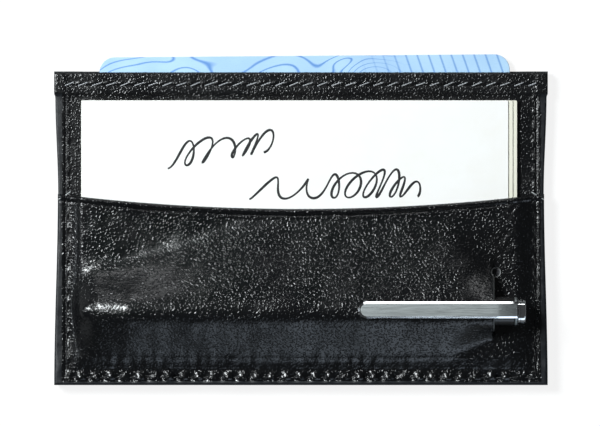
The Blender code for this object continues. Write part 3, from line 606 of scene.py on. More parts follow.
def draped_height(x, y, sizes):
    """Height of the leather over the pen above the leather that lies flat, before it settles."""
    radius = PEN_RADIUS + 0.25 * MM + sizes.leather
    rise = PEN_Z - FLAT_Z
    draw_in = smooth(x, sizes.slit_x - 10 * MM, sizes.slit_x + 2 * MM)
    low = sizes.drape_low + (sizes.slit_low - sizes.drape_low) * draw_in
    at_nose = 8.5 * MM
    high = at_nose + (sizes.drape_high - at_nose) * smooth(x, NOSE_X - 2 * MM, NOSE_X + 34 * MM)
    high = high + (sizes.slit_high - high) * draw_in
    offset = y - PEN_Y
    width = np.where(offset < 0, low, high)
    beyond = np.clip(NOSE_X - 0.2 * MM - x, 0, None)
    distance = np.hypot(offset, beyond * width / sizes.hip)
    reach = np.hypot(width, rise)
    lean = np.arctan2(rise, width) + np.arcsin(np.clip(radius / reach, 0, 1))
    touch = radius * np.sin(lean)
    on_pen = rise + np.sqrt(np.clip(radius ** 2 - distance ** 2, 0, None))
    on_slope = (width - distance) * np.tan(lean)
    ease = np.where(offset < 0, 0.4 * MM, 1.5 * MM) * (1 - draw_in)
    on_slope = (on_slope + np.sqrt(on_slope ** 2 + ease ** 2)) / 2
    height = np.where(distance < touch, on_pen, on_slope)
    height = height * smooth(-distance, -(width + 3 * MM), -width + 1 * MM)
    left_end = smooth(x, NOSE_X - 6.3 * MM, NOSE_X - 4.3 * MM)
    taper = 0.84 + 0.16 * smooth(x, NOSE_X - 2 * MM, NOSE_X + 9 * MM)
    return height * left_end * taper * (x < sizes.slit_x)


def apron_height(x, y):
    """The gentle rise of the leather from the bottom seam to the foot of the pen."""
    run = 8.0 * MM
    rise = np.clip(y - SEAM_Y - 1.0 * MM, 0, run) / run
    across = smooth(x, -40 * MM, -18 * MM) * smooth(-x, -41 * MM, -35 * MM)
    below_pen = smooth(PEN_Y - y, 1 * MM, 3 * MM)
    return FLANGE_TOP_Z + (0.1 * MM + 0.6 * MM * rise) * across * below_pen


def settle(height, floor, held, cut_column, cut_rows, rounds):
    """Let the leather relax: points move to the mean of their neighbours, never into the floor.

    No pull passes across the slit, and held points stay.
    """
    start = height.copy()
    for _ in range(rounds):
        wide = np.pad(height, 1, mode="edge")
        left, right = wide[:-2, 1:-1].copy(), wide[2:, 1:-1].copy()
        right[cut_column, cut_rows] = height[cut_column, cut_rows]
        left[cut_column + 1, cut_rows] = height[cut_column + 1, cut_rows]
        mean = (left + right + wide[1:-1, :-2] + wide[1:-1, 2:]) / 4
        height = np.maximum(0.5 * height + 0.5 * mean, floor)
        height = np.where(held, start, height)
    return height


def side_pucker(distance, along, pitch, slant=0.0):
    """The fine groove of a side seam, with a small bead of leather at each stitch.

    slant leans each bead across the seam.
    """
    step = along / pitch - np.round(along / pitch)
    phase = 0.5 + 0.5 * np.cos(2 * math.pi * step)
    groove = -0.18 * MM * hump(distance, 0.26 * MM)
    bead = 0.20 * MM * hump(distance - 0.45 * MM - slant * step, 0.26 * MM) * phase ** 2
    return groove + bead


def seam_pucker(distance, along, pitch):
    """Leather drawn in at each stitch hole and swelling between the holes."""
    phase = 0.5 + 0.5 * np.cos(2 * math.pi * along / pitch)
    groove = -0.10 * MM * hump(distance + 0.55 * MM, 0.22 * MM)
    holes = -0.36 * MM * hump(distance - 0.2 * MM, 0.75 * MM) * (1 - phase) ** 2
    from_crest = distance + 0.05 * MM
    swell = 0.42 * MM * hump(from_crest, np.where(from_crest > 0, 1.05 * MM, 0.5 * MM)) * phase ** 0.8
    notch = -0.20 * MM * hump(distance - 1.6 * MM, 0.35 * MM) * (0.3 + 0.7 * phase)
    return groove + holes + swell + notch


def front_pocket_mesh(sizes, stitches):
    """The pocket skin: draped over the pen, slit for it, turned at its mouth and sewn round."""
    half = CASE_HALF
    gap = 0.22 * MM
    low_y = POCKET_LOW.y
    fine = 5 * MM
    left_part = edge_stations(-half, sizes.slit_x - gap, sizes.pitch, sizes.round_edge, fine)
    right_part = edge_stations(sizes.slit_x + gap, half, sizes.pitch, sizes.round_edge, 0.0, fine)
    columns = np.concatenate([left_part, right_part])
    cut_column = len(left_part) - 1
    tall = mouth_line(0.0) - low_y
    share = edge_stations(0.0, 1.0, sizes.pitch / tall, sizes.round_edge / tall, fine / tall, 2.4 * MM / tall)
    x, v = np.meshgrid(columns, share, indexing="ij")
    y = low_y + (mouth_line(x) - low_y) * v
    x = follow_outline(x, y, half)

    side = smooth(half - np.abs(x), sizes.flange - 0.4 * MM, sizes.flange + 4.2 * MM)
    foot_shape = sizes.flange - 0.6 * MM
    foot = smooth(y - low_y, foot_shape, foot_shape + 4.2 * MM)
    flat = FLANGE_TOP_Z + (FLAT_Z - FLANGE_TOP_Z) * np.minimum(side, foot)
    height = np.maximum(flat + draped_height(x, y, sizes), apron_height(x, y))

    reach = PEN_RADIUS + sizes.leather + 0.12 * MM
    tip_reach, nose_end = 2.1 * MM, NOSE_X + 6.5 * MM
    nose = smooth(x, NOSE_X - 0.5 * MM, nose_end)
    reach = np.where(x < nose_end, tip_reach + (reach - tip_reach) * nose, reach)
    past_tip = np.clip(NOSE_X - 1.8 * MM - x, 0, None)
    over_pen = np.sqrt(np.clip(reach ** 2 - (y - PEN_Y) ** 2 - (1.1 * past_tip) ** 2, 0, None))
    pen_top = np.where((over_pen > 0) & (x < sizes.slit_x), PEN_Z + over_pen, 0.0)
    in_cards = (x > TOP_CARD_LOW.x) & (x < TOP_CARD_HIGH.x + 1.9 * MM) & (y > TOP_CARD_LOW.y)
    floor = np.maximum(np.where(in_cards, FLAT_Z, FLANGE_TOP_Z), pen_top)
    held = (half - np.abs(x) < sizes.flange - 0.6 * MM) | (y - low_y < sizes.flange - 1.0 * MM)
    offset = y[cut_column] - PEN_Y
    cut_rows = (offset > -sizes.slit_low) & (offset < sizes.slit_high)
    height = settle(height, floor, held, cut_column, cut_rows, 34)
    under_pen = (x > sizes.slit_x) & (np.abs(y - PEN_Y) < 4.5 * MM)
    ceiling = np.where(under_pen, PEN_Z - PEN_RADIUS - 0.1 * MM, 1.0)
    height = np.minimum(height, ceiling)

    height = height + pocket_relief(x, y, sizes, stitches)
    edge = np.minimum(np.minimum(case_half_width(y) - np.abs(x), y - low_y), mouth_line(x) - y)
    height = height - rounding(edge, sizes.round_edge)
    height = height - 0.22 * MM * smooth(0.5 * MM - mouth_line(x) + y, 0.0, 0.45 * MM)
    height = np.minimum(height, POCKET_HIGH.z)
    top = np.stack([x, y, height], 2)
    bottom = offset_down(top, sizes.leather)
    border = (edge < sizes.leather)
    bottom[..., 0] = np.where(border, x, bottom[..., 0])
    bottom[..., 1] = np.where(border, y, bottom[..., 1])
    bottom[..., 2] = np.where(border, np.maximum(height + rounding(edge, sizes.round_edge) - sizes.leather,
                                                 POCKET_LOW.z), bottom[..., 2])
    bottom[..., 2] = np.maximum(bottom[..., 2], POCKET_LOW.z)

    keep = np.ones((x.shape[0] - 1, x.shape[1] - 1), bool)
    middle_offset = (offset[:-1] + offset[1:]) / 2
    keep[cut_column] = ~((middle_offset > -sizes.slit_low) & (middle_offset < sizes.slit_high))
    hole_x = sizes.slit_x + 0.45 * MM
    hole_y = PEN_Y + sizes.slit_high - sizes.stop_hole + 0.1 * MM
    punch_hole(top, bottom, keep, hole_x, hole_y, sizes.stop_hole)
    lip = (np.arange(x.shape[0])[:, None] == cut_column) & cut_rows[None, :]
    top[..., 0] -= np.where(lip, 0.06 * MM, 0.0)
    bottom[..., 0] = np.where(lip, top[..., 0] + 0.26 * MM, bottom[..., 0])
    bottom[..., 2] = np.where(lip, top[..., 2] - 0.7 * sizes.leather, bottom[..., 2])
    outside = half - np.abs(x[:-1, :-1])
    rim = (outside < 1.6 * MM) | (y[1:, 1:] - low_y < 0.85 * MM)
    # The walls round the slit and the stop hole take the cut-edge finish, painted light as a highlight on
    # their rims.
    return shell_mesh("front_pocket_leather", top, bottom, keep,
                      ("pocket_leather", "edge_paint", "cut_leather_painted_highlight"), rim,
                      (sizes.slit_x, PEN_Y + 3 * MM, 9 * MM))


def punch_hole(top, bottom, keep, hole_x, hole_y, radius):
    """Take out the cells inside a circle and draw the rim's points onto it."""
    centre_x = (top[:-1, :-1, 0] + top[1:, 1:, 0]) / 2
    centre_y = (top[:-1, :-1, 1] + top[1:, 1:, 1]) / 2
    inside = np.hypot(centre_x - hole_x, centre_y - hole_y) < radius
    keep &= ~inside
    touched = np.zeros(top.shape[:2], bool)
    for step_x in (0, 1):
        for step_y in (0, 1):
            touched[step_x:step_x + inside.shape[0], step_y:step_y + inside.shape[1]] |= inside
    from_x = top[..., 0] - hole_x
    from_y = top[..., 1] - hole_y
    away = np.maximum(np.hypot(from_x, from_y), 1e-9)
    rim = touched & (away > 0.55 * radius)
    for grid, size in ((top, radius + 0.10 * MM), (bottom, radius - 0.12 * MM)):
        grid[..., 0] = np.where(rim, hole_x + from_x * size / away, grid[..., 0])
        grid[..., 1] = np.where(rim, hole_y + from_y * size / away, grid[..., 1])


def pocket_relief(x, y, sizes, stitches):
    """Small shapes of the pocket skin: turned mouth, puckered seams, soft waves and creases."""
    low_y = POCKET_LOW.y
    below_mouth = mouth_line(x) - y
    turned = 0.30 * MM * smooth(below_mouth, sizes.turned + 0.15 * MM, 0.35 * MM)
    crease = -0.24 * MM * hump(below_mouth - sizes.turned, 0.24 * MM)
    bead = 0.11 * MM * hump(below_mouth - sizes.turned - 0.42 * MM, 0.30 * MM)
    relief = turned + (crease + bead) * (0.75 + 0.25 * ripples(x, y, 9 * MM, 5))

    inner = (SEAM_X - np.abs(x) > -0.8 * MM) & (y > low_y)
    bottom = seam_pucker(y - SEAM_Y, x, stitches.pitch)
    uneven = 1 + 0.35 * ripples(x, y, 7 * MM, 11)
    relief = relief + np.where(inner, bottom * uneven, 0.0) * smooth(SEAM_X - np.abs(x), 0.0, 2 * MM)
    sides = side_pucker(SEAM_X - np.abs(x), y, stitches.pitch)
    relief = relief + sides * smooth(y, SEAM_Y, SEAM_Y + 2 * MM)

    pulls = ripples(x, y, 2.6 * MM, 21, stretch=2.4, turn=math.pi / 2)
    relief = relief + 0.07 * MM * pulls * hump(y - SEAM_Y - 2.6 * MM, 2.4 * MM)
    relief = relief + 0.10 * MM * ripples(x, y, 17 * MM, 31) * smooth(below_mouth, 0, 5 * MM)
    relief = relief + 0.030 * MM * ripples(x, y, 4.5 * MM, 41)
    corner = hump(x - 44.5 * MM, 4.5 * MM) * smooth(y, -14 * MM, -4 * MM)
    relief = relief + 0.05 * MM * corner * ripples(x, y, 1.3 * MM, 51, stretch=3.5, turn=math.radians(62))
    near_end = hump(x - NOSE_X, 4.0 * MM) * hump(y - PEN_Y - 5 * MM, 6 * MM)
    relief = relief + 0.04 * MM * near_end * ripples(x, y, 1.6 * MM, 61, stretch=3.0)
    return relief


def panel_relief(x, y, stitches):
    """Hem band, puckers and waves of the writing panel, below its own crown."""
    hem_foot = PANEL_HIGH.y - bpy.context.scene.case_sizes.hem
    band = smooth(y, hem_foot - 0.5 * MM, hem_foot + 0.3 * MM)
    relief = 0.24 * MM * (band - 1)
    hem = side_pucker(y - HEM_SEAM_Y + 0.3 * MM, x, stitches.hem_pitch, 0.9 * MM)
    relief = relief + (0.9 * hem - 0.10 * MM * band) * smooth(SEAM_X - np.abs(x), -0.4 * MM, 0.4 * MM)
    relief = relief + side_pucker(SEAM_X - np.abs(x), y, stitches.pitch) * (1 - band)
    relief = relief + 0.022 * MM * (ripples(x, y, 6 * MM, 71) - 1.2)
    aside, above = np.abs(x) - 46.6 * MM, y - hem_foot + 1.5 * MM
    inner_corner = hump(aside, 1.6 * MM) * hump(above, 1.8 * MM)
    relief = relief - 0.10 * MM * inner_corner * hump(aside - above, 0.3 * MM)
    return relief


def middle_panel_mesh(stitches):
    """The writing panel with its turned hem."""
    sizes = bpy.context.scene.case_sizes
    columns = edge_stations(-CASE_HALF, CASE_HALF, 1.1 * sizes.pitch, sizes.round_edge, 4 * MM, 4 * MM)
    rows = edge_stations(PANEL_LOW.y, PANEL_HIGH.y, 1.3 * sizes.pitch, sizes.round_edge, 0.0, 5 * MM)
    x, y = np.meshgrid(columns, rows, indexing="ij")
    x = follow_outline(x, y, CASE_HALF)
    x = x - np.sign(x) * 0.05 * MM
    edge = np.minimum(case_half_width(y) - 0.05 * MM - np.abs(x), y - PANEL_LOW.y)
    fold = PANEL_HIGH.y - y
    fold_radius = 0.62 * MM
    height = PANEL_HIGH.z + panel_relief(x, y, stitches) - rounding(edge, 0.3 * MM)
    height = height - rounding(fold, fold_radius)
    underside = np.where((np.abs(x) > 47.6 * MM) | (y < -29.6 * MM) | (y > 27.8 * MM), PANEL_LOW.z, 2.75 * MM)
    underside = underside + rounding(fold, fold_radius)
    top = np.stack([x, y, height], 2)
    bottom = np.stack([x, y, underside], 2)
    keep = np.ones((x.shape[0] - 1, x.shape[1] - 1), bool)
    rim = (CASE_HALF - np.abs(x[:-1, :-1]) < 1.6 * MM) & (y[:-1, :-1] < HEM_SEAM_Y - 2.2 * MM)
    return shell_mesh("middle_panel_leather", top, bottom, keep, ("panel_leather", "edge_paint"), rim)


def back_cover_mesh(stitches):
    """The back cover: flat, with a soft step up to the seam on three sides."""
    sizes = bpy.context.scene.case_sizes
    columns = edge_stations(-CASE_HALF, CASE_HALF, 1.3 * sizes.pitch, sizes.round_edge)
    rows = edge_stations(COVER_LOW.y, COVER_HIGH.y, 1.3 * sizes.pitch, sizes.round_edge)
    x, y = np.meshgrid(columns, rows, indexing="ij")
    x = follow_outline(x, y, CASE_HALF)
    rim = COVER_HIGH.z - sizes.cover
    side = smooth(np.abs(x), 44.6 * MM, 47.4 * MM)
    foot = smooth(-y, 26.4 * MM, 29.2 * MM)
    step = rim * np.maximum(side, foot)
    edge = np.minimum(case_half_width(y) - np.abs(x), y - COVER_LOW.y)
    round_edge = 0.4 * MM
    pucker = seam_pucker(SEAM_X - np.abs(x), y, stitches.pitch) * smooth(y, SEAM_Y, SEAM_Y + 2 * MM)
    pucker = pucker + seam_pucker(y - SEAM_Y, x, stitches.pitch) * smooth(SEAM_X - np.abs(x), 0, 2 * MM)
    open_edge = rounding(COVER_HIGH.y - y, round_edge)
    underside = step + rounding(edge, round_edge) - 0.8 * pucker * (step > 0.9 * rim)
    underside = underside + open_edge
    height = step + sizes.cover - 0.01 * MM - open_edge
    top = np.stack([x, y, height], 2)
    bottom = np.stack([x, y, np.maximum(underside, 0.0)], 2)
    keep = np.ones((x.shape[0] - 1, x.shape[1] - 1), bool)
    return shell_mesh("back_cover_leather", top, bottom, keep, ("cover_leather", "edge_paint"))


# ---------------------------------------------------------------- the sewing
def stitch_group(name):
    """Geometry nodes: a row of arched stitches along a line."""
    inputs = {"Geometry": "Geometry", "Pitch": "Float", "Span": "Float", "Arch": "Float",
              "Thread Radius": "Float", "Slant": "Float", "Uneven": "Float", "Thread": "Material"}
    sheet, entry, leave = new_group(name, "GeometryNodeTree", inputs, {"Geometry": "Geometry"})
    line = sheet.add("GeometryNodeMeshToCurve", {"Mesh": entry["Geometry"]}, "Curve")
    spaced = sheet.add("GeometryNodeResampleCurve", {"Curve": line, "Length": entry["Pitch"]}, "Curve",
                       mode="LENGTH")

    half = sheet.math("MULTIPLY", entry["Span"], 0.5)
    dip = sheet.math("MULTIPLY", entry["Arch"], -1.0)
    start, end = [sheet.add("ShaderNodeCombineXYZ", {"X": sheet.math("MULTIPLY", half, side), "Z": dip})
                  for side in (-1.0, 1.0)]
    crown = sheet.add("ShaderNodeCombineXYZ", {"Z": entry["Arch"]})
    arch = sheet.add("GeometryNodeCurveQuadraticBezier",
                     {"Resolution": 6, "Start": start, "Middle": crown, "End": end}, "Curve")
    section = sheet.add("GeometryNodeCurvePrimitiveCircle",
                        {"Resolution": 8, "Radius": entry["Thread Radius"]}, "Curve")
    stitch = sheet.add("GeometryNodeCurveToMesh",
                       {"Curve": arch, "Profile Curve": section, "Fill Caps": True}, "Mesh")

    aim = sheet.add("FunctionNodeAlignRotationToVector",
                    {"Vector": sheet.add("GeometryNodeInputTangent", {})}, axis="X", pivot_axis="Z")
    least = sheet.math("SUBTRACT", entry["Slant"], entry["Uneven"])
    most = sheet.math("ADD", entry["Slant"], entry["Uneven"])
    slant = sheet.add("FunctionNodeRandomValue", {2: least, 3: most, "Seed": 7}, 1, data_type="FLOAT")
    lean = sheet.add("FunctionNodeAxisAngleToRotation", {"Axis": (0.0, 0.0, 1.0), "Angle": slant})
    turn = sheet.add("FunctionNodeRotateRotation", {"Rotation": aim, "Rotate By": lean},
                     rotation_space="LOCAL")

    row = sheet.add("GeometryNodeInstanceOnPoints",
                    {"Points": spaced, "Instance": stitch, "Rotation": turn}, "Instances")
    real = sheet.add("GeometryNodeRealizeInstances", {"Geometry": row}, "Geometry")
    paint = sheet.add("GeometryNodeSetMaterial", {"Geometry": real, "Material": entry["Thread"]}, "Geometry")
    sheet.feed(leave["Geometry"], paint)
    return sheet.tree


def stitched_mesh(name, routes, values):
    """Run the stitch row over one or more routes of points and return a plain mesh."""
    mesh = bpy.data.meshes.new(name + "_line")
    points, edges = [], []
    for route in routes:
        first = len(points)
        points += [tuple(point) for point in route]
        edges += [(first + step, first + step + 1) for step in range(len(route) - 1)]
    mesh.from_pydata(points, edges, [])
    line = bpy.data.objects.new(name + "_line", mesh)
    bpy.context.scene.collection.objects.link(line)
    row = line.modifiers.new("stitch row", "NODES")
    row.node_group = shared_group("stitch row")
    for item in row.node_group.interface.items_tree:
        if item.item_type == "SOCKET" and item.in_out == "INPUT" and item.name in values:
            row[item.identifier] = values[item.name]
    evaluated = line.evaluated_get(bpy.context.evaluated_depsgraph_get())
    made = bpy.data.meshes.new_from_object(evaluated)
    made.name = name
    bpy.data.objects.remove(line)
    made.shade_smooth()
    return made


def level_route(half, y, height):
    """A route straight across the case."""
    return [(-half, y, height), (half, y, height)]


def side_routes(inset, low_y, high_y, height):
    """Two routes up the left and right seams."""
    return [[(side * (SEAM_X - inset), low_y, height), (side * (SEAM_X - inset), high_y, height)]
            for side in (-1, 1)]


# ---------------------------------------------------------------- cards and ink
def bevelled_plate(name, outline, low, high, bevel, face, edge):
    """A thin plate with softened edges; its rim takes the second finish."""
    count = len(outline)
    centre = sum((Vector(point) for point in outline), Vector((0, 0))) / count
    levels = ((low, bevel), (low + bevel, 0.0), (high - bevel, 0.0), (high, bevel))
    points = []
    for z, inset in levels:
        for point in outline:
            offset = Vector(point) - centre
            shrunk = centre + Vector((offset.x - math.copysign(inset, offset.x),
                                      offset.y - math.copysign(inset, offset.y)))
            points.append((shrunk.x, shrunk.y, z))
    faces = [list(range(count))[::-1], list(range(3 * count, 4 * count))]
    for level in range(3):
        for step in range(count):
            after = (step + 1) % count
            faces.append([level * count + step, level * count + after,
                          (level + 1) * count + after, (level + 1) * count + step])
    return plain_mesh(name, points, faces, (face, edge), [0, 0] + [1] * (len(faces) - 2), 30)


def corner_outline(low, high, radius, steps):
    """A rectangle from low to high with round corners, anticlockwise."""
    outline = []
    corners = ((high.x, high.y, -1, -1, 0), (low.x, high.y, 1, -1, 90),
               (low.x, low.y, 1, 1, 180), (high.x, low.y, -1, 1, 270))
    for x, y, in_x, in_y, start in corners:
        outline += arc_points(x + in_x * radius, y + in_y * radius, radius, start, start + 90, steps)
    return outline


def scribble_line(start, end, loops, size, lean, seed):
    """A pen line that loops along from start to end without forming letters."""
    draw = np.random.default_rng(seed)
    marks = np.arange(loops + 1)
    heights = draw.uniform(0.35, 1.0, loops + 1)
    rounds = draw.uniform(-0.25, 0.45, loops + 1)
    places = np.sort(np.concatenate([[0.0, 1.0], draw.uniform(0.08, 0.92, loops - 1)]))
    steps = 26 * loops
    points = []
    for step in range(steps + 1):
        turn = loops * step / steps
        share = 0.5 * np.interp(turn, marks, places) + 0.5 * step / steps
        tall = np.interp(turn, marks, heights) * size
        angle = 2 * math.pi * turn
        rise = tall * (0.5 - 0.5 * math.cos(angle))
        wide = np.interp(turn, marks, rounds) * tall
        x = start[0] + (end[0] - start[0]) * share - wide * math.sin(angle) + lean * rise
        y = start[1] + (end[1] - start[1]) * share + rise
        points.append((x, y))
    return points


def ink_mesh(name, lines, base, width):
    """Flat pen strokes along the lines, lying on the card."""
    curve = bpy.data.curves.new(name, "CURVE")
    curve.dimensions = "3D"
    curve.bevel_depth = width / 2
    curve.bevel_resolution = 2
    curve.use_fill_caps = True
    for line in lines:
        spline = curve.splines.new("POLY")
        spline.points.add(len(line) - 1)
        for index, (point, (x, y)) in enumerate(zip(spline.points, line)):
            point.co = (x, y, 0.0, 1.0)
            point.radius = 0.75 + 0.35 * math.sin(index * 0.21) ** 2
    stroke = bpy.data.objects.new(name, curve)
    bpy.context.scene.collection.objects.link(stroke)
    bpy.context.view_layer.update()
    made = bpy.data.meshes.new_from_object(stroke.evaluated_get(bpy.context.evaluated_depsgraph_get()))
    bpy.data.objects.remove(stroke)
    made.transform(Matrix.Diagonal((1.0, 1.0, 0.06, 1.0)))
    made.transform(Matrix.Translation((0.0, 0.0, base)))
    made.materials.clear()
    made.materials.append(finish("note_ink"))
    made.shade_smooth()
    return made


# ---------------------------------------------------------------- the pen
def clip_outline(inset, steps=14, along=22, bend=12):
    """Half of the clip seen from above, from the tip to the root: (x, half width)."""
    half = (CLIP_HIGH.y - CLIP_LOW.y) / 2
    centre = CLIP_LOW.x + half
    radius = half - inset
    outline = []
    for angle in np.linspace(math.radians(4), math.pi / 2, steps):
        outline.append((centre - radius * math.cos(angle), radius * math.sin(angle)))
    outline += [(x, radius) for x in np.linspace(centre, CLIP_BEND_X, along + 1)[1:]]
    root_x = CLIP_HIGH.x - min(inset, 0.12 * MM)
    outline += [(x, radius) for x in np.linspace(CLIP_BEND_X, root_x, bend + 1)[1:]]
    return outline


def clip_mesh():
    """The clip: a satin face between polished chamfers, a round free end and a bent root."""
    middle = (CLIP_HIGH.y + CLIP_LOW.y) / 2
    thick = 0.6 * MM
    chamfer = 0.40 * MM
    levels = ((0.06 * MM, -thick), (0.0, 0.06 * MM - thick), (0.0, -0.27 * MM), (chamfer, 0.0))
    fall = CLIP_HIGH.z - thick - CLIP_LOW.z - 0.15 * MM
    points = []
    for inset, height in levels:
        sheet = []
        for x, wide in clip_outline(inset):
            share = max(0.0, (x - CLIP_BEND_X) / (CLIP_HIGH.x - CLIP_BEND_X))
            sheet.append((x, wide, CLIP_HIGH.z - 0.02 * MM + height - fall * share ** 1.6))
        points += [(x, middle + wide, z) for x, wide, z in sheet]
        points += [(x, middle - wide, z) for x, wide, z in sheet]
    count = len(sheet)
    crown = len(points)
    points += [(x, middle, z + 0.015 * MM) for x, _, z in sheet]
    faces = []
    face = 2 * count * (len(levels) - 1)
    for low in range(0, face, 2 * count):
        high = low + 2 * count
        for step in range(count - 1):
            faces.append([low + step, high + step, high + step + 1, low + step + 1])
            one, two = low + count + step, high + count + step
            faces.append([one, one + 1, two + 1, two])
        faces.append([low, low + count, high + count, high])
        faces.append([low + count - 1, high + count - 1, high + 2 * count - 1, low + 2 * count - 1])
    slots = [1] * len(faces)
    for step in range(count - 1):
        faces.append([face + step, crown + step, crown + step + 1, face + step + 1])
        faces.append([face + count + step, face + count + step + 1, crown + step + 1, crown + step])
        faces.append([step, step + 1, count + step + 1, count + step])
        slots += [0, 0, 1]
    faces.append([face, face + count, crown])
    faces.append([face + count - 1, crown + count - 1, face + 2 * count - 1])
    slots += [0, 0]
    sharp = 24
    mesh = plain_mesh("clip_body", points, faces, ("satin_steel", "polished_chrome"), slots, sharp)
    shape = bmesh.new()
    shape.from_mesh(mesh)
    bmesh.ops.recalc_face_normals(shape, faces=shape.faces)
    shape.to_mesh(mesh)
    shape.free()
    mesh.set_sharp_from_angle(angle=math.radians(sharp))
    return mesh


def tube_profile(node, soft):
    """A barrel with softened outer ends."""
    low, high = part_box(node)
    bore = 2.55 * MM
    profile = [(low.x, bore), (high.x, bore)]
    profile += arc_points(high.x - soft, PEN_RADIUS - soft, soft, 0, 90)
    profile += arc_points(low.x + soft, PEN_RADIUS - soft, soft, 90, 180)
    return profile


def end_cap_profile():
    """The chrome end cap: a turned button with a fine groove."""
    low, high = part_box("pen_end_cap")
    radius = (high.z - low.z) / 2
    bore, soft, round_end = 1.35 * MM, 0.12 * MM, 0.35 * MM
    groove, middle = 0.10 * MM, low.x + 0.55 * MM
    profile = [(low.x, bore)]
    profile += arc_points(low.x + soft, radius - soft, soft, 180, 90)
    profile += [(middle - groove, radius), (middle, radius - groove), (middle + groove, radius)]
    profile += arc_points(high.x - round_end, radius - round_end, round_end, 90, 0)
    profile += [(high.x - 0.05 * MM, 1.2 * MM), (high.x - 0.02 * MM, 0.0)]
    profile += [(high.x - 0.5 * MM, 0.0), (high.x - 0.5 * MM, bore)]
    return profile


def nose_profile():
    """The nose cone: a smooth ogive with a rounded mouth for the point."""
    low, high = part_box("pen_nose_cone")
    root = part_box("pen_lower_barrel")[0].x - 0.05 * MM
    tip_radius, soft, spigot, bore = 1.3 * MM, 0.15 * MM, 2.5 * MM, 1.25 * MM
    profile = [(high.x, bore), (high.x, spigot), (root, spigot)]
    for share in np.linspace(0.0, 1.0, 14):
        radius = PEN_RADIUS - (PEN_RADIUS - tip_radius) * share ** 1.8
        profile.append((root + (low.x + soft - root) * share, radius))
    profile += arc_points(low.x + soft, tip_radius - soft, soft, 90, 180, 4)
    profile += [(low.x, 0.85 * MM), (low.x + 1 * MM, bore)]
    return profile


def ring_profile(node, bore):
    """A polished ring with a round crown."""
    low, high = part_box(node)
    middle, half = (low.x + high.x) / 2, (high.x - low.x) / 2
    crown = 0.15 * MM
    foot = (high.z - low.z) / 2 - crown
    angles = [math.radians(180 * step / 8) for step in range(9)]
    profile = [(low.x, bore), (high.x, bore)]
    profile += [(middle + half * math.cos(angle), foot + crown * math.sin(angle)) for angle in angles]
    return profile


# ---------------------------------------------------------------- operators
class NOTECASE_OT_stage(bpy.types.Operator):
    """Make the floor, the lights and the camera"""
    bl_idname = "notecase.stage"
    bl_label = "Stage"

    def execute(self, context):
        scene = context.scene
        scene.view_settings.view_transform = "Standard"
        world = bpy.data.worlds.new("studio")
        world.use_nodes = True
        sky = world.node_tree.nodes["Background"].inputs
        sky["Color"].default_value = (0.93, 0.96, 1.0, 1.0)
        sky["Strength"].default_value = 0.06
        scene.world = world

        reach = 1.6
        floor_mesh = bpy.data.meshes.new("floor")
        corners = [(-reach, -reach, 0), (reach, -reach, 0), (reach, reach, 0), (-reach, reach, 0)]
        floor_mesh.from_pydata(corners, [], [(0, 1, 2, 3)])
        floor_mesh.materials.append(finish("white_sweep"))
        floor = bpy.data.objects.new("floor", floor_mesh)
        scene.collection.objects.link(floor)
        floor.location.z = CAD_LOW.z - 0.02 * MM

        self.add_light(scene, "key", (-0.33, 0.21, 0.52), 0.20, 0.20, 5.6, (0.94, 0.985, 1.0))
        self.add_light(scene, "head strip", (0.0, 0.70, 0.303), 0.80, 0.07, 0.9, (0.97, 0.99, 1.0))
        self.add_light(scene, "foot strip", (0.33, -0.70, 0.16), 0.80, 0.30, 1.35, (0.74, 0.86, 1.0))
        self.add_light(scene, "side strip", (-0.70, -0.02, 0.30), 0.30, 0.08, 0.25, (0.85, 0.93, 1.0))

        camera_data = bpy.data.cameras.new("camera")
        camera_data.lens = 360.0
        camera_data.sensor_width = 36.0
        camera_data.clip_start = 0.01
        camera = bpy.data.objects.new("camera", camera_data)
        scene.collection.objects.link(camera)
        camera.location = (-0.2 * MM, 3.25 * MM, 1.2538)
        scene.camera = camera
        return {"FINISHED"}

    def add_light(self, scene, name, place, width, height, power, colour):
        """A soft rectangular light aimed at the case."""
        data = bpy.data.lights.new(name, "AREA")
        data.shape = "RECTANGLE"
        data.size = width
        data.size_y = height
        data.energy = power
        data.color = colour
        light = bpy.data.objects.new(name, data)
        light.location = place
        light.rotation_euler = (-Vector(place)).to_track_quat("-Z", "Y").to_euler()
        scene.collection.objects.link(light)


class NOTECASE_OT_front_pocket(bpy.types.Operator):
    """Build the front pocket's draped leather"""
    bl_idname = "notecase.front_pocket"
    bl_label = "Front pocket"

    def execute(self, context):
        mesh = front_pocket_mesh(context.scene.case_sizes, context.scene.stitch_sizes)
        add_piece("front_pocket_leather", mesh, "case", "cover_leather", "front_pocket")
        return {"FINISHED"}


class NOTECASE_OT_panels(bpy.types.Operator):
    """Build the writing panel and the back cover"""
    bl_idname = "notecase.panels"
    bl_label = "Panels"

    def execute(self, context):
        stitches = context.scene.stitch_sizes
        panel = middle_panel_mesh(stitches)
        add_piece("middle_panel_leather", panel, "case", "cover_leather", "middle_panel")
        add_piece("back_cover_leather", back_cover_mesh(stitches), "case", "cover_leather", "back_cover")
        return {"FINISHED"}


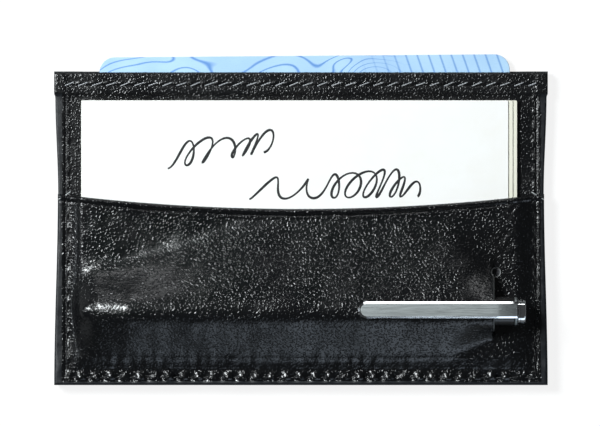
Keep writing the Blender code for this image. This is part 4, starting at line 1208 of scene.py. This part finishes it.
class NOTECASE_OT_stitching(bpy.types.Operator):
    """Sew the seams and the hem"""
    bl_idname = "notecase.stitching"
    bl_label = "Stitching"

    def execute(self, context):
        stitches = context.scene.stitch_sizes
        seam = {"Pitch": stitches.pitch, "Span": stitches.share * stitches.pitch, "Arch": 0.10 * MM,
                "Thread Radius": stitches.thread, "Slant": math.radians(5), "Uneven": math.radians(3),
                "Thread": finish("waxed_thread")}
        # The tack and hem stitches take the grey threads, painted light as glints on black waxed thread.
        tack = {**seam, "Pitch": 1.1 * MM, "Span": 1.25 * MM, "Thread Radius": 0.14 * MM,
                "Thread": finish("tack_thread_painted_glint")}
        hem = {**seam, "Pitch": stitches.hem_pitch, "Span": 0.72 * stitches.hem_pitch,
               "Thread Radius": 0.13 * MM, "Slant": math.radians(20), "Thread": finish("hem_thread")}

        pocket_z = FLANGE_TOP_Z + 0.04 * MM
        panel_z = PANEL_HIGH.z - 0.10 * MM
        tack_z = FLANGE_TOP_Z + 0.10 * MM
        back_z = (BACK_SEAM_LOW.z + BACK_SEAM_HIGH.z) / 2 + 0.08 * MM
        mouth = POCKET_HIGH.y
        foot, head = SEAM_Y + 1.4 * MM, HEM_SEAM_Y - 1.6 * MM
        across = SEAM_X - 1.4 * MM
        hem_across = SEAM_X - 0.6 * MM

        front = [level_route(across, SEAM_Y, pocket_z - 0.15 * MM)]
        front += side_routes(0.25 * MM, foot, mouth - 1.2 * MM, pocket_z)
        front += side_routes(0.25 * MM, mouth + 2.0 * MM, head, panel_z)
        tacks = [[(side * (SEAM_X - 0.5 * MM), mouth + 0.1 * MM, tack_z),
                  (side * (SEAM_X + 1.0 * MM), mouth - 0.8 * MM, tack_z)] for side in (-1, 1)]
        back = [level_route(across, SEAM_Y, back_z)] + side_routes(0.0, foot, head, back_z)
        hem_front = [level_route(hem_across, HEM_SEAM_Y, HEM_HIGH.z - 0.06 * MM)]
        hem_back = [level_route(hem_across, HEM_SEAM_Y, (BACK_HEM_LOW.z + BACK_HEM_HIGH.z) / 2)]
        rows = (
            ("front_stitches", front, seam, ("seam_thread_front",)),
            ("mouth_tacks", tacks, tack, ()),
            ("back_stitches", back, {**seam, "Arch": -0.12 * MM}, ("seam_thread_back",)),
            ("hem_stitches", hem_front, hem, ("hem_thread_front",)),
            ("hem_back_stitches", hem_back, {**hem, "Arch": -0.05 * MM}, ("hem_thread_back",)),
        )
        for name, routes, values, nodes in rows:
            add_piece(name, stitched_mesh(name, routes, values), "case", "seam_thread", *nodes)
        return {"FINISHED"}


class NOTECASE_OT_cards(bpy.types.Operator):
    """Build the note cards, the ink on the top one and the plastic card"""
    bl_idname = "notecase.cards"
    bl_label = "Cards"

    def execute(self, context):
        notes = sorted(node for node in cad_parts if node.startswith("note_card_"))
        for number, node in enumerate(notes, start=1):
            low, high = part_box(node)
            outline = corner_outline(low, high, 0.25 * MM, 3)
            # Cards under the top one get the face with painted shade, darker and yellower than the top card.
            face = "card_face" if number == 1 else "shaded_lower_card_face"
            mesh = bevelled_plate(node + "_paper", outline, low.z, high.z, 0.03 * MM, face, "card_edge")
            add_piece(node + "_paper", mesh, "note_%d" % number, "note_paper", node)
        left, head = TOP_CARD_LOW.x, TOP_CARD_HIGH.y
        lines = [
            scribble_line((left + 18 * MM, head - 14.2 * MM), (left + 38 * MM, head - 10.8 * MM),
                          loops=6, size=6.6 * MM, lean=0.5, seed=4),
            scribble_line((left + 35 * MM, head - 20.6 * MM), (left + 70 * MM, head - 20.0 * MM),
                          loops=9, size=6.2 * MM, lean=0.45, seed=9),
        ]
        mesh = ink_mesh("note_scribble", lines, TOP_CARD_HIGH.z, 0.5 * MM)
        add_piece("note_scribble", mesh, "note_1", "note_paper")

        low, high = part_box("plastic_card")
        turn = math.radians(0.46)
        centre = (low + high) / 2
        half = Vector((42.8 * MM, 26.99 * MM))
        outline = corner_outline(Vector((-half.x, -half.y)), Vector((half.x, half.y)), 3.18 * MM, 10)
        turned = [(centre.x + x * math.cos(turn) - y * math.sin(turn),
                   centre.y + x * math.sin(turn) + y * math.cos(turn)) for x, y in outline]
        mesh = bevelled_plate("plastic_card_body", turned, low.z, high.z, 0.08 * MM,
                              "printed_plastic", "printed_plastic")
        add_piece("plastic_card_body", mesh, "back_card", "card_plastic", "plastic_card")
        return {"FINISHED"}


class NOTECASE_OT_pen(bpy.types.Operator):
    """Build the pen's visible pieces"""
    bl_idname = "notecase.pen"
    bl_label = "Pen"

    def execute(self, context):
        pieces = (
            ("upper_barrel", tube_profile("pen_upper_barrel", 0.15 * MM), "black_lacquer", "pen",
             "black_lacquer"),
            ("lower_barrel", tube_profile("pen_lower_barrel", 0.10 * MM), "black_lacquer", "pen_lower",
             "black_lacquer"),
            ("end_cap", end_cap_profile(), "polished_chrome", "pen", "pen_chrome"),
            ("nose_cone", nose_profile(), "polished_chrome", "pen_lower", "pen_chrome"),
            ("centre_ring", ring_profile("pen_centre_ring", 2.0 * MM), "polished_chrome", "pen_lower",
             "pen_chrome"),
            ("clip_collar", ring_profile("pen_clip_collar", 1.35 * MM), "satin_steel", "pen", "clip_steel"),
        )
        for name, profile, made, body, slot in pieces:
            add_piece(name, turned_mesh(name, profile, made), body, slot, "pen_" + name)
        add_piece("clip_body", clip_mesh(), "clip", "clip_steel", "pen_clip")
        return {"FINISHED"}


class NOTECASE_OT_works(bpy.types.Operator):
    """Give the linings, the board and the pen's works their finishes"""
    bl_idname = "notecase.works"
    bl_label = "Linings and works"

    def execute(self, context):
        kept = {
            "woven_lining": ("back_lining", "panel_lining", "pen_guard"),
            "pressed_board": ("stiffener_board",),
            "turned_brass": ("pen_barrel_plug", "pen_bush", "pen_cam_tube", "pen_guide_tube",
                             "refill_carrier", "refill_point"),
            "satin_steel": ("drive_pin", "refill_ball"),
            "refill_plastic": ("refill_tube",),
        }
        for name, nodes in kept.items():
            for node in nodes:
                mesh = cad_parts[node].data
                mesh.materials.clear()
                mesh.materials.append(finish(name))
        return {"FINISHED"}


class NOTECASE_PT_panel(bpy.types.Panel):
    """The builder's panel in the sidebar"""
    bl_label = "Note Card Case"
    bl_idname = "NOTECASE_PT_panel"
    bl_space_type = "VIEW_3D"
    bl_region_type = "UI"
    bl_category = "Note Case"

    def draw(self, context):
        for builder in BUILDERS:
            self.layout.operator(builder.bl_idname)
        for group in (context.scene.case_sizes, context.scene.stitch_sizes, context.scene.case_colours):
            box = self.layout.box()
            for key in group.__annotations__:
                box.prop(group, key)


GROUPS = (CaseSizes, StitchSizes, CaseColours)
BUILDERS = (NOTECASE_OT_stage, NOTECASE_OT_front_pocket, NOTECASE_OT_panels, NOTECASE_OT_stitching,
            NOTECASE_OT_cards, NOTECASE_OT_pen, NOTECASE_OT_works)


def register():
    for each in GROUPS + BUILDERS + (NOTECASE_PT_panel,):
        bpy.utils.register_class(each)
    bpy.types.Scene.case_sizes = bpy.props.PointerProperty(type=CaseSizes)
    bpy.types.Scene.stitch_sizes = bpy.props.PointerProperty(type=StitchSizes)
    bpy.types.Scene.case_colours = bpy.props.PointerProperty(type=CaseColours)


def unregister():
    del bpy.types.Scene.case_sizes
    del bpy.types.Scene.stitch_sizes
    del bpy.types.Scene.case_colours
    for each in reversed(GROUPS + BUILDERS + (NOTECASE_PT_panel,)):
        bpy.utils.unregister_class(each)


def main():
    """Build everything in order."""
    register()
    bpy.ops.notecase.stage()
    bpy.ops.notecase.front_pocket()
    bpy.ops.notecase.panels()
    bpy.ops.notecase.stitching()
    bpy.ops.notecase.cards()
    bpy.ops.notecase.pen()
    bpy.ops.notecase.works()


if __name__ == "__main__":
    main()
